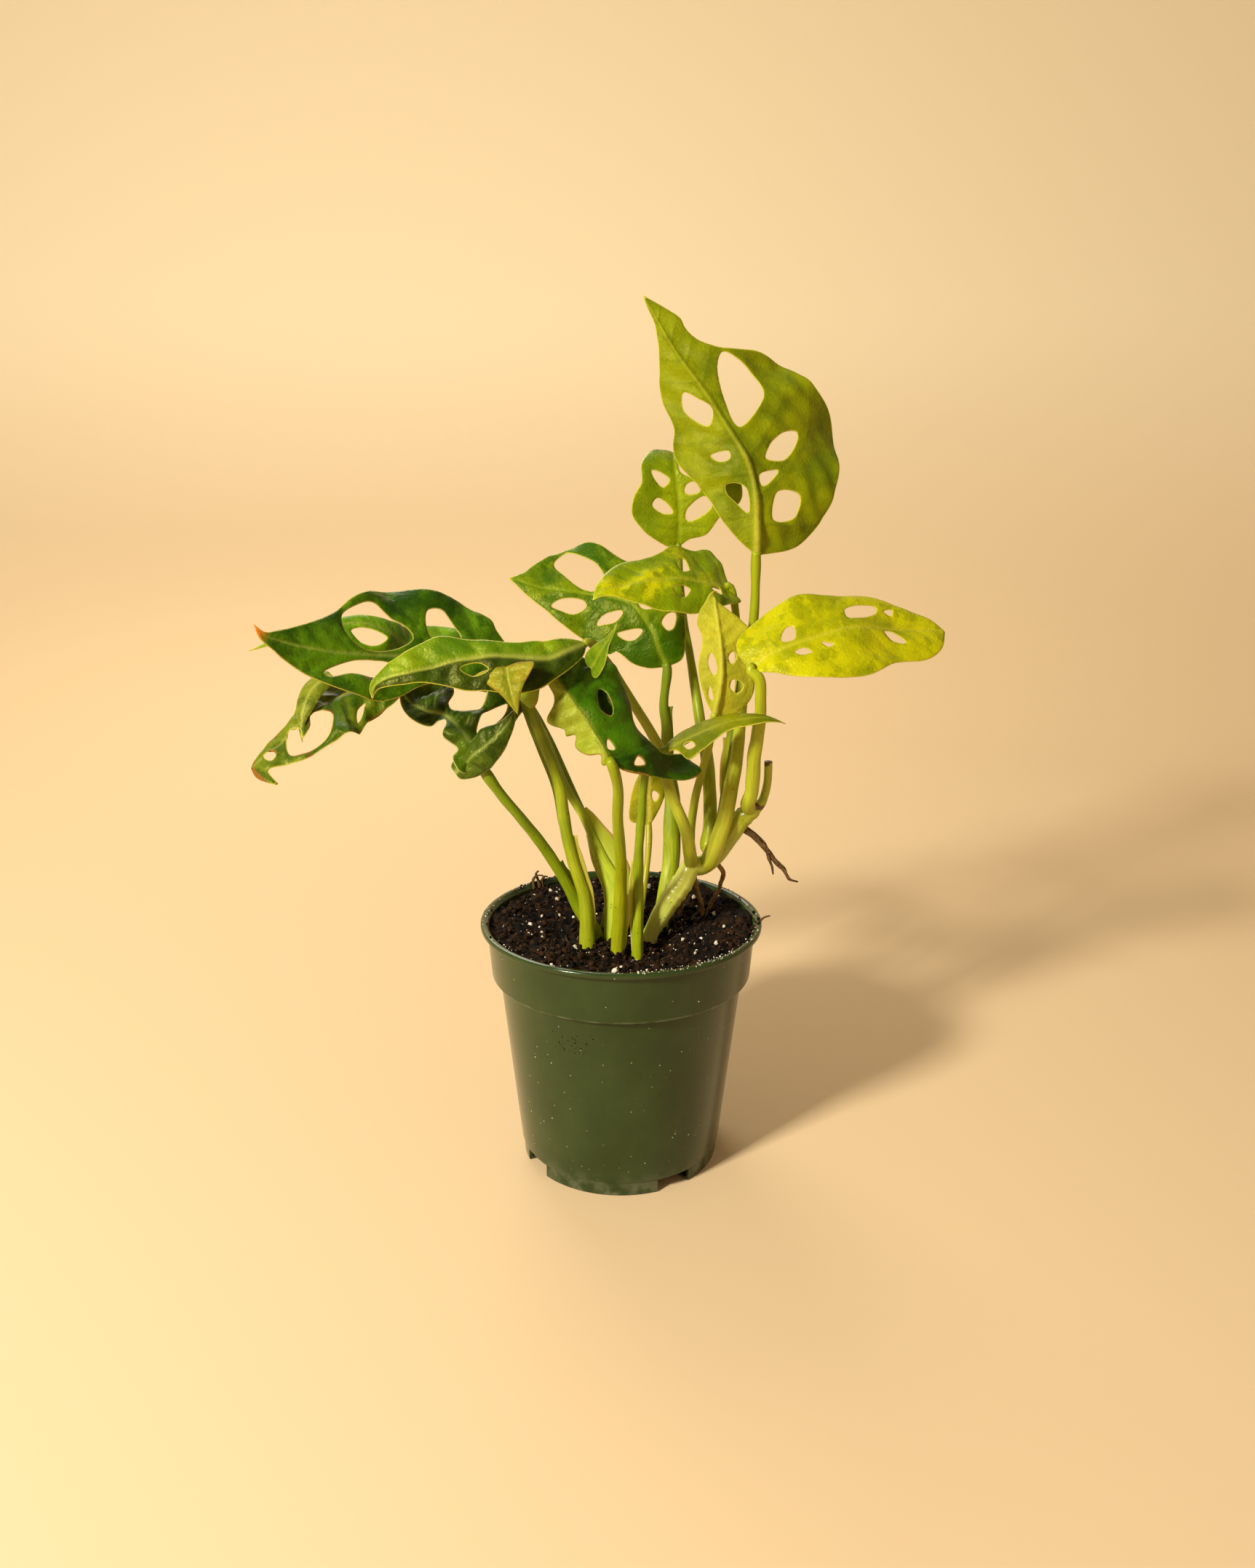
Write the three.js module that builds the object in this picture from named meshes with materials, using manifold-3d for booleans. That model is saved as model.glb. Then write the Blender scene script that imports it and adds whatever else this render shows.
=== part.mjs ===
// A potted neon swiss cheese vine: a 4 inch green nursery pot full of soil, a short vine
// stem with two nodes, aerial roots, and fourteen holed leaves on their petioles.
// Millimetres. +Z is up, +X runs to the right along the front, and the origin is the
// centre of the pot's foot.
import * as THREE from "three";
import { mergeVertices } from "three/addons/utils/BufferGeometryUtils.js";
import Module from "manifold-3d";

const wasm = await Module();
wasm.setup();

// Pot and soil sizes
const around = 40; // facets round the pot and the soil
const rimRadius = 50.8; // 4 inch rim
const potHeight = 91.9;
const wall = 1.0;
const footRadius = 36.3;
const footHeight = 5.4;
const ridgeRadius = 37.1; // fine ridge above the foot
const shoulderRadius = 44.2; // top of the tapered wall
const shoulderHeight = 71.5;
const collarBottomRadius = 47.0;
const collarTopRadius = 48.5;
const lipHeight = 2.0;
const floorThickness = 1.2;
const notchCount = 4; // drain notches cut in the foot
const notchAngle = 21; // degrees each one spans
const notchStart = 22; // degrees from the front, towards +X
const notchHeight = 4.8;
const notchInnerRadius = 30;
const soilLevel = 84; // round the stems, about 8 mm below the rim
const stemDepth = 14; // how far stems and roots go into the soil
const clearance = 0.3; // gap kept between neighbouring pieces

// Blade sizes
const bladeThickness = 0.8;
const midribRise = 0.6; // the midrib's ridge under the blade
const marginStep = 5;
const holeStep = 3.4;
const innerStep = 8;

// Each leaf is drawn flat, as u along its midrib from the petiole and v across it, and then
// bent. rib is the midrib in space, and the petiole runs up to its start. face is where the
// upper surface looks, from base to tip. fold is how far each half (+v, -v) lifts at the
// midrib, in degrees, and curl is how much more it lifts 20 mm out. wave is the height,
// length and phase of the margin's ripple.
const leaves = {
  crown: {
    colour: "#8c9422",
    rib: [[45, 4, 221], [45, 5, 233], [44, 7, 244], [41, 9, 253], [36, 12, 261], [28, 16, 273],
      [17, 21, 288], [6, 28, 306]],
    face: [[0, 1, 0.1], [-0.15, 1, 0.2], [0, 1, 0.35]],
    fold: [14, 14],
    curl: [10, 14],
    wave: [1.5, 26, 0],
    plus: [[6, 7], [16, 14], [38, 20], [49, 21], [57, 16], [68, 14], [84, 3]],
    minus: [[3, -15], [11, -25], [19, -31], [28, -36], [42, -38], [50, -34], [57, -29],
      [62, -24], [69, -13], [75, -9], [82, -7], [86, -7]],
    holes: [
      [[67, -13], [59, -17], [50, -18], [45, -11], [43.5, -3.5], [55, -4.5], [64, -8.5]],
      [[64, 6], [59, 3], [53.5, 1], [49.5, 5], [60, 9.5]],
      [[34.5, -21.5], [29, -13.5], [31, -7], [34, -10], [35.5, -16.5]],
      [[26.5, -3], [26.5, -10], [24, -6.5], [23, -3]],
      [[21, -9.5], [19.5, -16.5], [16, -16.5], [12, -13], [12, -6], [20, -7.5]],
      [[41, 10], [38.5, 4], [36, 5], [37, 8]],
      [[26.5, 9.5], [26, 6], [23, 3], [14.5, 3], [18.5, 7], [22.5, 9.5]],
    ],
    petiole: [[31, -3, 114], [33, -5, 120], [36, -5, 130], [38, -3, 141], [40, -1, 152],
      [41, 1, 162], [42, 3, 177], [44, 4, 190], [45, 4, 200]],
    section: [[0, 3.1, 2.7], [0.3, 2.7, 2.3], [0.5, 2, 1.9], [1, 1.5, 1.5]],
  },
  back: {
    colour: "#8d9a26",
    rib: [[20, 38, 221], [20, 37, 234], [19, 37, 244], [18, 40, 251], [18, 48, 254],
      [19, 60, 253]],
    face: [[0, -1, 0.1], [0, -1, 0.4], [0, -0.4, 1]],
    fold: [8, 8],
    curl: [0, -10],
    wave: [1, 22, 1],
    plus: [[3, 4], [5, 10], [11, 15], [15, 22], [18, 23], [22, 22], [27, 16], [46, 7]],
    minus: [[0, -3], [3, -9], [6, -13], [12, -17], [20, -16], [24, -13], [30, -12], [34, -10],
      [42, -6]],
    holes: [
      [[28, -8.5], [27.5, -6], [24.5, -2.5], [22, -5], [24.5, -7.5]],
      [[18.5, -7.5], [14.5, -3], [12.5, -2.5], [12.5, -6], [16, -9.5]],
      [[19.5, 2.5], [22, 3.5], [22.5, 6.5], [19.5, 8], [18.5, 4]],
      [[10.5, 2.5], [13.5, 3], [17.5, 9.5], [14.5, 12], [9.5, 3.5]],
      [[31.5, 2], [28, 4.5], [24, 6.5], [26.5, 2]],
    ],
    petiole: [[31, 5, 117], [32, 7, 123], [32, 14, 135], [31, 20, 147], [29, 25, 157],
      [27, 30, 169], [25, 33, 181], [22, 36, 197]],
    section: [[0, 2.7, 2.1], [0.35, 2.4, 1.9], [0.55, 1.7, 1.6], [1, 1.2, 1.2]],
  },
  mid_left: {
    colour: "#4f7018",
    rib: [[16, 20, 180], [13, 20, 186], [11, 21, 192], [7, 23, 198], [3, 26, 202],
      [-4, 28, 204], [-12, 30, 205], [-23, 32, 206], [-32, 34, 207], [-42, 36, 210]],
    face: [[0, -1, 0.1], [0, -0.9, 0.5], [0, -0.75, 0.65]],
    fold: [-4, -8],
    curl: [-8, -10],
    wave: [1.5, 24, 0.5],
    plus: [[0, 6], [3, 9], [12, 12], [17, 16], [24, 18], [31, 16], [35, 16], [45, 21],
      [51, 21], [64, 14], [71, 3]],
    minus: [[3, -7], [15, -18], [26, -19], [37, -18], [45, -16], [51, -13], [60, -7]],
    holes: [
      [[59.5, 11.5], [56.5, 17], [48.5, 15], [43, 12], [39.5, 7], [41.5, 1.5], [46, 1.5],
        [53.5, 6]],
      [[56, -6.5], [53, -3.5], [45, -3], [43.5, -5], [48, -8.5], [52, -8]],
      [[38, -11], [36.5, -7.5], [29.5, -4], [28, -5], [30, -8]],
      [[21, -11], [16.5, -3], [14.5, -7], [16, -9.5]],
      [[15, 4.5], [16.5, 8], [15.5, 10.5], [12.5, 7.5], [12.5, 5]],
      [[26, 2], [21, 5], [23, 1.5]],
    ],
    petiole: [[14, 5, 84], [16, 4, 98], [18, 8, 111], [18, 11, 122], [18, 14, 133],
      [16, 17, 145], [16, 19, 158], [15, 20, 166]],
    section: [[0, 3.2, 2.4], [0.5, 2.9, 2.1], [0.65, 2, 1.8], [1, 1.5, 1.5]],
  },
  centre_top: {
    colour: "#a3a425",
    rib: [[37, 12, 210], [32, 9, 211], [21, 4, 213], [10, -1, 213], [-1, -6, 212],
      [-6, -9, 211], [-10, -11, 208]],
    face: [[0, -0.6, 0.8]],
    fold: [4, -10],
    curl: [-12, -12],
    wave: [1, 20, 0],
    plus: [[-1, 4], [-1, 12], [1, 19], [10, 19], [17, 18], [22, 14], [30, 11], [38, 10],
      [51, 2]],
    minus: [[-3, -6], [4, -9], [14, -13], [23, -14], [31, -12], [39, -8], [50, -2]],
    holes: [
      [[18.5, 8], [15.5, 10.5], [15, 5], [18, 3.5]],
      [[24, -4], [19.5, -3], [17, -4], [21, -7.5]],
      [[8.5, -3], [5.5, -1.5], [5, -4.5]],
    ],
    petiole: [[39, 5, 127], [38, 8, 139], [39, 10, 158], [41, 12, 170], [41, 13, 186]],
    section: [[0, 2, 1.7], [0.4, 1.7, 1.5], [1, 1.2, 1.2]],
  },
  right: {
    colour: "#b3b61f",
    rib: [[42, -17, 186], [48, -17, 191], [58, -16, 195], [66, -14, 197], [76, -11, 199],
      [91, -5, 198], [110, 1, 196]],
    face: [[-0.1, -0.7, 0.7], [0, -0.65, 0.75]],
    fold: [-4, 4],
    curl: [-6, -14],
    wave: [1, 28, 2],
    plus: [[1, 2], [5, 6], [14, 12], [22, 16], [39, 18], [51, 14], [64, 12], [70, 8]],
    minus: [[0, -7], [2, -11], [8, -14], [17, -17], [27, -18], [38, -15], [49, -14],
      [69, -5]],
    holes: [
      [[38.5, -8], [49.5, -8.5], [49.5, -6.5], [43, -4], [38, -4.5]],
      [[52.5, -7], [56, -8], [55, -5.5]],
      [[13.5, -2.5], [16.5, -6.5], [19, -6.5], [18, -2], [15.5, -1.5]],
      [[50, 1.5], [53, 1.5], [57, 6], [51.5, 5]],
      [[25.5, 2.5], [29, 4.5], [27, 5]],
      [[16, 3], [19, 2.5], [21, 5], [18, 5]],
    ],
    petiole: [[44, -6, 136], [45, -8, 142], [45, -12, 155], [46, -15, 167], [46, -17, 175],
      [45, -18, 183]],
    section: [[0, 2.7, 2.3], [0.6, 2.2, 2], [1, 1.5, 1.5]],
  },
  centre: {
    colour: "#a9a944",
    rib: [[31, -13, 169], [33, -12, 181], [33, -10, 191], [32, -7, 199], [31, -3, 207],
      [32, 4, 209]],
    face: [[0, 1, 0.1], [0, 1, 0.3]],
    fold: [10, 10],
    curl: [8, 8],
    wave: [0.8, 18, 0],
    plus: [[5, 4], [11, 7], [18, 8], [28, 6], [33, 7], [36, 6], [42, 2]],
    minus: [[0, -4], [3, -8], [7, -11], [11, -12], [16, -11], [23, -11], [29, -10],
      [39, -2]],
    holes: [
      [[22, 3.5], [16.5, 1.5], [14, 2.5], [18, 4.5]],
      [[20, -2.5], [22, -4], [20.5, -5.5], [18, -3.5]],
      [[10.5, -3.5], [13, -4], [11.5, -8], [9, -6]],
      [[10, 3.5], [5.5, 1.5], [6, 3]],
    ],
    petiole: [[26, -2, 112], [25, 4, 115], [25, 6, 123], [26, 6, 133], [28, 4, 144],
      [30, -4, 156]],
    section: [[0, 1.7, 1.5], [1, 1.2, 1.2]],
  },
  sliver: {
    colour: "#7b8f22",
    rib: [[14, -16, 158], [21, -18, 162], [28, -20, 166], [38, -22, 170], [46, -23, 171],
      [54, -22, 169]],
    face: [[0.05, -0.35, 1]],
    fold: [-10, 0],
    curl: [-30, -10],
    wave: [0.5, 18, 0],
    plus: [[5, 3], [9, 9], [14, 8], [24, 4], [34, 3]],
    minus: [[1, -2], [7, -7], [17, -6], [27, -4]],
    holes: [[[8, 2], [11, 2.5], [12, 5], [9.5, 5]]],
    petiole: [[6, -16, 84], [6, -14, 107], [6, -14, 120], [7, -15, 136], [8, -16, 149],
      [10, -16, 155]],
    section: [[0, 2.3, 2.1], [0.4, 1.9, 1.8], [1, 1.2, 1.2]],
  },
  dark: {
    colour: "#37541a",
    rib: [[-3, -42, 160], [-6, -40, 166], [-10, -37, 172], [-15, -34, 178], [-20, -31, 184],
      [-24, -28, 188], [-29, -25, 188], [-35, -22, 188], [-41, -20, 187], [-45, -18, 185]],
    face: [[0.5, -0.75, 0.3], [0.4, -0.8, 0.5], [0, -0.6, 0.8]],
    fold: [-5, -55],
    curl: [-8, -12],
    wave: [1, 14, 0],
    plus: [[-4, 4], [-7, 9], [-14, 25], [-14, 33], [-11, 36], [-7, 35], [-2, 21], [6, 17],
      [10, 16], [21, 21], [30, 21], [36, 14], [38, 8], [42, 3]],
    minus: [[1, -3], [4, -2], [6, -6], [12, -9], [15, -7], [17, -10], [19, -9], [25, -12],
      [28, -6], [34, -4], [41, -5], [45, -15], [54, -7]],
    holes: [
      [[23.5, 11.5], [21, 12.5], [14, 8], [17, 6], [20.5, 8]],
      [[8, 3.5], [4, 4], [5, 1.5]],
      [[-3, 7.5], [-1, 10], [-4, 11]],
    ],
    petiole: [[-1, -15, 84], [0, -20, 109], [0, -27, 124], [-1, -33, 138], [-1, -39, 152]],
    section: [[0, 2.8, 2.5], [0.4, 2.3, 2.2], [1, 1.6, 1.6]],
  },
  long: {
    colour: "#6d8a1f",
    rib: [[-11, -24, 196], [-17, -30, 194], [-24, -33, 192], [-35, -35, 193], [-43, -36, 193],
      [-52, -37, 192], [-60, -38, 190], [-67, -39, 188], [-72, -39, 187], [-77, -38, 184],
      [-79, -36, 179]],
    face: [[0, -0.6, 0.8]],
    fold: [20, -25],
    curl: [-10, -10],
    wave: [1.5, 16, 0],
    plus: [[6, 4], [20, 6], [27, 5], [41, 7], [48, 9], [56, 8], [65, 5], [72, 2]],
    minus: [[6, -4], [15, -7], [20, -11], [28, -12], [44, -10], [58, -4], [67, -3]],
    holes: [[[44, -3], [38, -2], [35, -4.5], [40, -6]]],
    petiole: [[24, -9, 120], [22, -10, 129], [18, -10, 139], [16, -9, 145], [14, -7, 154],
      [10, -6, 162], [4, -8, 172], [-4, -13, 186]],
    section: [[0, 2.5, 2.2], [0.3, 2, 1.8], [1, 1.3, 1.3]],
  },
  far_left: {
    colour: "#3b5c1b",
    rib: [[-39, 4, 187], [-50, -1, 187], [-63, -6, 188], [-76, -12, 189], [-84, -16, 190],
      [-92, -20, 191], [-99, -24, 193], [-109, -28, 196], [-113, -30, 198],
      [-116, -31, 202]],
    face: [[0, -0.85, 0.55]],
    fold: [5, 0],
    curl: [-12, -8],
    wave: [1.5, 26, 0],
    plus: [[0, 3], [3, 9], [4, 13], [12, 19], [20, 23], [36, 26], [42, 25], [51, 21],
      [61, 14], [78, 4], [84, 1]],
    minus: [[5, -4], [20, -9], [32, -11], [41, -15], [49, -16], [66, -10], [77, -5],
      [83, -2]],
    holes: [
      [[56.5, 14], [51.5, 17.5], [46, 19], [39.5, 13.5], [35, 10.5], [33, 6.5], [39, 2.5],
        [49, 1.5], [54, 4.5], [56.5, 9]],
      [[27, 16.5], [23, 17], [19.5, 12], [17, 6.5], [26, 6], [28, 10.5]],
      [[63.5, -7.5], [56, -3], [47.5, -2], [42, -3], [43.5, -7], [47.5, -9.5], [51, -7.5],
        [56, -7], [61.5, -8.5]],
    ],
    petiole: [[-12, -9, 84], [-13, -6, 101], [-17, -4, 114], [-20, -2, 127], [-22, 0, 141],
      [-27, -3, 157], [-31, -5, 169], [-35, -4, 182], [-38, 0, 187]],
    section: [[0, 3.4, 2.6], [0.25, 2.3, 2.1], [0.6, 2.1, 1.9], [1, 1.5, 1.5]],
  },
  under: {
    colour: "#5b7a1c",
    rib: [[-54, 24, 184], [-68, 18, 186], [-76, 13, 189], [-81, 9, 194], [-89, 6, 197],
      [-97, 2, 197], [-105, -4, 196], [-114, -10, 194], [-123, -16, 191]],
    face: [[0, -0.6, 0.8]],
    fold: [0, -10],
    curl: [-10, -15],
    wave: [1, 22, 0],
    plus: [[2, 11], [10, 14], [19, 12], [30, 7], [46, 4], [60, 3], [72, 1.5]],
    minus: [[6, -3], [19, -6], [39, -12], [53, -8], [73, -2]],
    holes: [[[48, -3], [34, -3], [37, -7.5], [45, -8]]],
    petiole: [[-6, 8, 84], [-4, 10, 99], [-11, 14, 118], [-17, 17, 131], [-23, 20, 144],
      [-32, 23, 162], [-44, 24, 177]],
    section: [[0, 2, 1.8], [1, 1.2, 1.2]],
  },
  torn: {
    colour: "#4d6a20",
    rib: [[-78, 18, 173], [-87, 17, 173], [-95, 15, 172], [-102, 11, 170], [-108, 6, 167],
      [-113, 2, 162], [-119, -2, 157], [-124, -6, 153], [-128, -8, 149]],
    face: [[-0.2, -0.75, 0.6], [-0.4, -0.75, 0.45]],
    fold: [-8, -4],
    curl: [-22, -6],
    wave: [1.5, 15, 0],
    plus: [[3, 4], [10, 4], [18, 10], [22, 14], [27, 14], [31, 12], [36, 8], [42, 5],
      [51, 5], [62, 2]],
    minus: [[3, -6], [10, -11], [22, -16], [29, -18], [38, -16], [42, -14], [50, -12.5],
      [54, -10], [58, -7], [61, -6], [62, -13], [65.5, -5]],
    holes: [
      [[46, 1], [43, -2], [45, -5], [40, -3.5], [37, -1], [31, -5], [36, -11], [41, -12],
        [49, -10], [52, -7], [50.5, -3]],
      [[58.5, 0.5], [56, 0.5], [55, -2.5], [58, -3.5]],
      [[24, -13.5], [20.5, -8.5], [16, -6.5], [19.5, -11]],
    ],
    petiole: [[-3, -3, 84], [-3, 2, 102], [-8, 6, 113], [-13, 10, 125], [-20, 13, 136],
      [-24, 15, 145], [-30, 17, 158], [-41, 18, 169], [-56, 18, 173]],
    section: [[0, 3, 1.8], [0.25, 3.3, 1.5], [0.36, 1.6, 1.4], [1, 1.1, 1.1]],
  },
  crumpled: {
    colour: "#3f5c1c",
    rib: [[-47, -15, 151], [-51, -14, 159], [-56, -11, 165], [-61, -6, 168], [-68, -1, 168],
      [-74, 4, 170], [-78, 7, 174]],
    face: [[0.3, -0.85, 0.4], [0.1, -0.8, 0.6]],
    fold: [-5, -5],
    curl: [-6, -12],
    wave: [2, 12, 0],
    plus: [[1, 9], [6, 14], [10, 22], [10, 28], [14, 30], [21, 26], [23, 19], [20, 10],
      [21, 5.5], [24, 3], [26, 4], [28, 11], [42, 14], [48, 8]],
    minus: [[0, -3], [2, -7], [5, -8], [9, -7], [10, -4.5], [17, -6], [19, -3], [23, -1.5],
      [25, -4], [36, -5], [46, -2]],
    holes: [
      [[11.5, 4.5], [15, 8], [17, 15], [16, 20], [12.5, 17], [10.5, 7.5]],
    ],
    petiole: [[-9, -1, 84], [-15, -1, 95], [-19, -2, 104], [-24, -4, 114], [-29, -7, 123],
      [-36, -11, 134], [-41, -13, 141]],
    section: [[0, 2.4, 2.1], [0.2, 2.7, 2], [0.4, 2.1, 1.9], [1, 1.7, 1.6]],
  },
  low: {
    colour: "#a59a2a",
    rib: [[10, 16, 121], [10, 17, 131], [10, 19, 140], [10, 22, 146]],
    face: [[0, -1, 0.1]],
    fold: [-5, -5],
    curl: [-10, -10],
    wave: [0.5, 12, 0],
    plus: [[3, 2], [8, 4.5], [13, 6], [20, 5]],
    minus: [[1, -2], [2, -7], [10, -7], [17, -5]],
    holes: [[[11.5, 1], [13.5, 1.5], [12, 3.5], [9.5, 2]]],
    petiole: [[6, 1, 84], [7, 3, 93], [9, 8, 106], [10, 13, 115]],
    section: [[0, 1.5, 1.4], [1, 1, 1]],
  },
};

// The vine stem, out of the soil, through its two nodes, and the dried stub at its end
const vine = [[10, -4, 84], [13, -5, 92], [18, -5, 101], [22, -4, 107], [25, -3, 112],
  [29, -1, 112], [34, 0, 116], [39, 0, 123], [43, -1, 130], [46, -2, 133], [49, -3, 136],
  [50, -2, 138], [51, -2, 143], [51, -3, 151]];
const vineSection = [[0, 3.4, 3.2], [0.2, 3, 3], [0.37, 4, 3.8], [0.5, 3.4, 3.2],
  [0.7, 3.2, 3], [0.79, 3.2, 3], [0.85, 1.5, 1.5], [1, 1.4, 1.3]];

// Aerial roots: some hang free, some reach the soil
const roots = {
  root_forked: {
    path: [[43, 0, 126], [47, 0, 123], [51, -1, 119], [54, -2, 115], [58, -3, 111],
      [60, -4, 108], [63, -4, 107]],
    section: [[0, 1.4, 1.3], [0.5, 1, 1], [0.85, 0.6, 0.6], [1, 0.4, 0.4]],
  },
  root_fork: {
    path: [[52.6, -3.2, 115], [53.5, -4.2, 113], [54, -4.6, 110]],
    section: [[0, 0.6, 0.6], [1, 0.4, 0.4]],
  },
  root_right: {
    path: [[35, 3, 111], [37, 5, 107], [36, 8, 100], [33, 12, 91], [32, 13, 84]],
    section: [[0, 0.8, 0.8], [1, 0.6, 0.6]],
  },
  root_middle: {
    path: [[26, 0, 108], [28, 5, 99], [30, 9, 91], [30, 10, 84]],
    section: [[0, 0.9, 0.9], [1, 0.7, 0.7]],
  },
  root_left: {
    path: [[23, 1, 108], [23, 6, 99], [22, 11, 91], [22, 13, 84]],
    section: [[0, 1, 1], [1, 0.8, 0.8]],
  },
};

const vectors = (points) => points.map((p) => new THREE.Vector3(...p));

// A value between stops [s, a, b], each stop holding the place s and its two sizes
function sizesAt(stops, s) {
  let i = 1;
  while (i < stops.length - 1 && stops[i][0] < s) i += 1;
  const [s0, a0, b0] = stops[i - 1];
  const [s1, a1, b1] = stops[i];
  const f = THREE.MathUtils.clamp((s - s0) / (s1 - s0), 0, 1);
  return [a0 + f * (a1 - a0), b0 + f * (b1 - b0)];
}

// A closed tapering tube of oval section along a path. grow widens it all round, and the
// path is cut short at its far end by shorten.
function sweep(path, stops, grow = 0, shorten = 0, sides = 8, pace = 9) {
  const curve = new THREE.CatmullRomCurve3(path, false, "centripetal");
  const length = curve.getLength();
  const steps = Math.max(3, Math.round(length / pace));
  const positions = [];
  const index = [];
  for (let i = 0; i <= steps; i++) {
    const s = (i / steps) * (1 - shorten / length);
    const centre = curve.getPointAt(s);
    const along = curve.getTangentAt(s);
    const deep = new THREE.Vector3(0, 1, 0).addScaledVector(along, -along.y).normalize();
    const across = deep.clone().cross(along).normalize();
    const [a, b] = sizesAt(stops, s);
    for (let k = 0; k < sides; k++) {
      const turn = ((k + 0.5) / sides) * 2 * Math.PI;
      const p = centre
        .clone()
        .addScaledVector(across, (a + grow) * Math.cos(turn))
        .addScaledVector(deep, (b + grow) * Math.sin(turn));
      positions.push(p.x, p.y, p.z);
    }
  }
  for (let i = 0; i < steps; i++)
    for (let k = 0; k < sides; k++) {
      const a = i * sides + k;
      const b = i * sides + ((k + 1) % sides);
      index.push(a, b, a + sides, b, b + sides, a + sides);
    }
  const last = steps * sides;
  for (let k = 1; k < sides - 1; k++) {
    index.push(0, k + 1, k);
    index.push(last, last + k, last + k + 1);
  }
  return indexed(positions, index);
}

function indexed(positions, index) {
  const geometry = new THREE.BufferGeometry();
  geometry.setAttribute("position", new THREE.Float32BufferAttribute(positions, 3));
  geometry.setIndex(index);
  return geometry;
}

// Solids for cutting, and back to a geometry
function solid(geometry) {
  const bare = geometry.clone();
  bare.deleteAttribute("normal");
  bare.deleteAttribute("uv");
  const merged = mergeVertices(bare, 1e-4);
  const made = new wasm.Manifold(
    new wasm.Mesh({
      numProp: 3,
      vertProperties: merged.attributes.position.array,
      triVerts: new Uint32Array(merged.index.array),
    }),
  );
  if (made.volume() > 0) return made;
  const turned = new Uint32Array(merged.index.array);
  for (let i = 0; i < turned.length; i += 3)
    [turned[i + 1], turned[i + 2]] = [turned[i + 2], turned[i + 1]];
  return new wasm.Manifold(
    new wasm.Mesh({
      numProp: 3,
      vertProperties: merged.attributes.position.array,
      triVerts: turned,
    }),
  );
}

function largest(made) {
  return made.decompose().reduce((a, b) => (b.volume() > a.volume() ? b : a));
}

function shapeOf(made) {
  const mesh = made.getMesh();
  return indexed(Array.from(mesh.vertProperties), Array.from(mesh.triVerts));
}

const object = new THREE.Group();

function place(name, geometry, colour, roughness) {
  geometry.computeVertexNormals();
  const material = new THREE.MeshStandardMaterial({ color: colour, roughness, metalness: 0 });
  const mesh = new THREE.Mesh(geometry, material);
  mesh.name = name;
  object.add(mesh);
}

// Pot: one turned wall with a stepped collar and a rolled lip, its foot notched for drainage
const potProfile = [
  [0, 0],
  [footRadius, 0],
  [footRadius, footHeight],
  [ridgeRadius, footHeight + 0.5],
  [shoulderRadius, shoulderHeight],
  [collarBottomRadius, shoulderHeight + 0.8],
  [collarTopRadius, potHeight - lipHeight],
  [rimRadius, potHeight - lipHeight + 0.4],
  [rimRadius, potHeight - 0.3],
  [rimRadius - 0.4, potHeight],
  [collarTopRadius - wall, potHeight],
  [collarBottomRadius - wall, shoulderHeight + 2],
  [shoulderRadius - wall, shoulderHeight + 0.4],
  [footRadius - wall, footHeight],
  [footRadius - wall, floorThickness],
  [0, floorThickness],
];
const turned = (profile) =>
  new THREE.LatheGeometry(
    profile.map(([r, z]) => new THREE.Vector2(r, z)),
    around,
  ).rotateX(Math.PI / 2);
let pot = solid(turned(potProfile));
for (let i = 0; i < notchCount; i++) {
  const from = THREE.MathUtils.degToRad(notchStart + (360 / notchCount) * i - 90);
  const to = from + THREE.MathUtils.degToRad(notchAngle);
  const sector = new THREE.Shape();
  sector.absarc(0, 0, notchInnerRadius, from, to, false);
  sector.absarc(0, 0, footRadius + 8, to, from, true);
  const cutter = new THREE.ExtrudeGeometry(sector, {
    depth: notchHeight + 1,
    bevelEnabled: false,
    curveSegments: 3,
  }).translate(0, 0, -1);
  pot = pot.subtract(solid(cutter));
}

// Soil: fills the pot nearly to the lip, and lies lower round the stems
function soilHeight(x, y) {
  const edge = THREE.MathUtils.smoothstep(Math.hypot(x, y + 6), 14, 44);
  const lumps = 1.0 * Math.sin(0.13 * x + 0.8) * Math.cos(0.12 * y - 0.4);
  const mound = 2.2 * THREE.MathUtils.smoothstep(x + 0.5 * y, 8, 40);
  return soilLevel + (lumps + mound) * (1 - 0.7 * edge) + 5.6 * edge;
}
const inside = clearance + 0.05;
const soilProfile = [
  [0, floorThickness + inside],
  [footRadius - wall - inside, floorThickness + inside],
  [footRadius - wall - inside, footHeight],
  [shoulderRadius - wall - inside, shoulderHeight + 1],
  [collarBottomRadius - wall - inside, shoulderHeight + 2.6],
  [collarTopRadius - wall - inside - 0.4, soilLevel],
  [39, soilLevel],
  [30, soilLevel],
  [20, soilLevel],
  [10, soilLevel],
  [0, soilLevel],
];
const soilShape = turned(soilProfile);
const soilPositions = soilShape.attributes.position;
for (let i = 0; i < soilPositions.count; i++)
  if (soilPositions.getZ(i) > soilLevel - 1)
    soilPositions.setZ(i, soilHeight(soilPositions.getX(i), soilPositions.getY(i)));
let soil = solid(soilShape);

// The vine stem and everything that stands in the soil
const sunk = (path) => {
  const points = vectors(path);
  const foot = points[0].clone();
  foot.z -= stemDepth;
  return [foot, ...points];
};
const vinePath = sunk(vine);
place("vine_stem", sweep(vinePath, vineSection, 0, 0, 10, 5), "#98a738", 0.45);
const vineRoom = solid(sweep(vinePath, vineSection, clearance, 0, 10, 5));
soil = soil.subtract(vineRoom);

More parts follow.
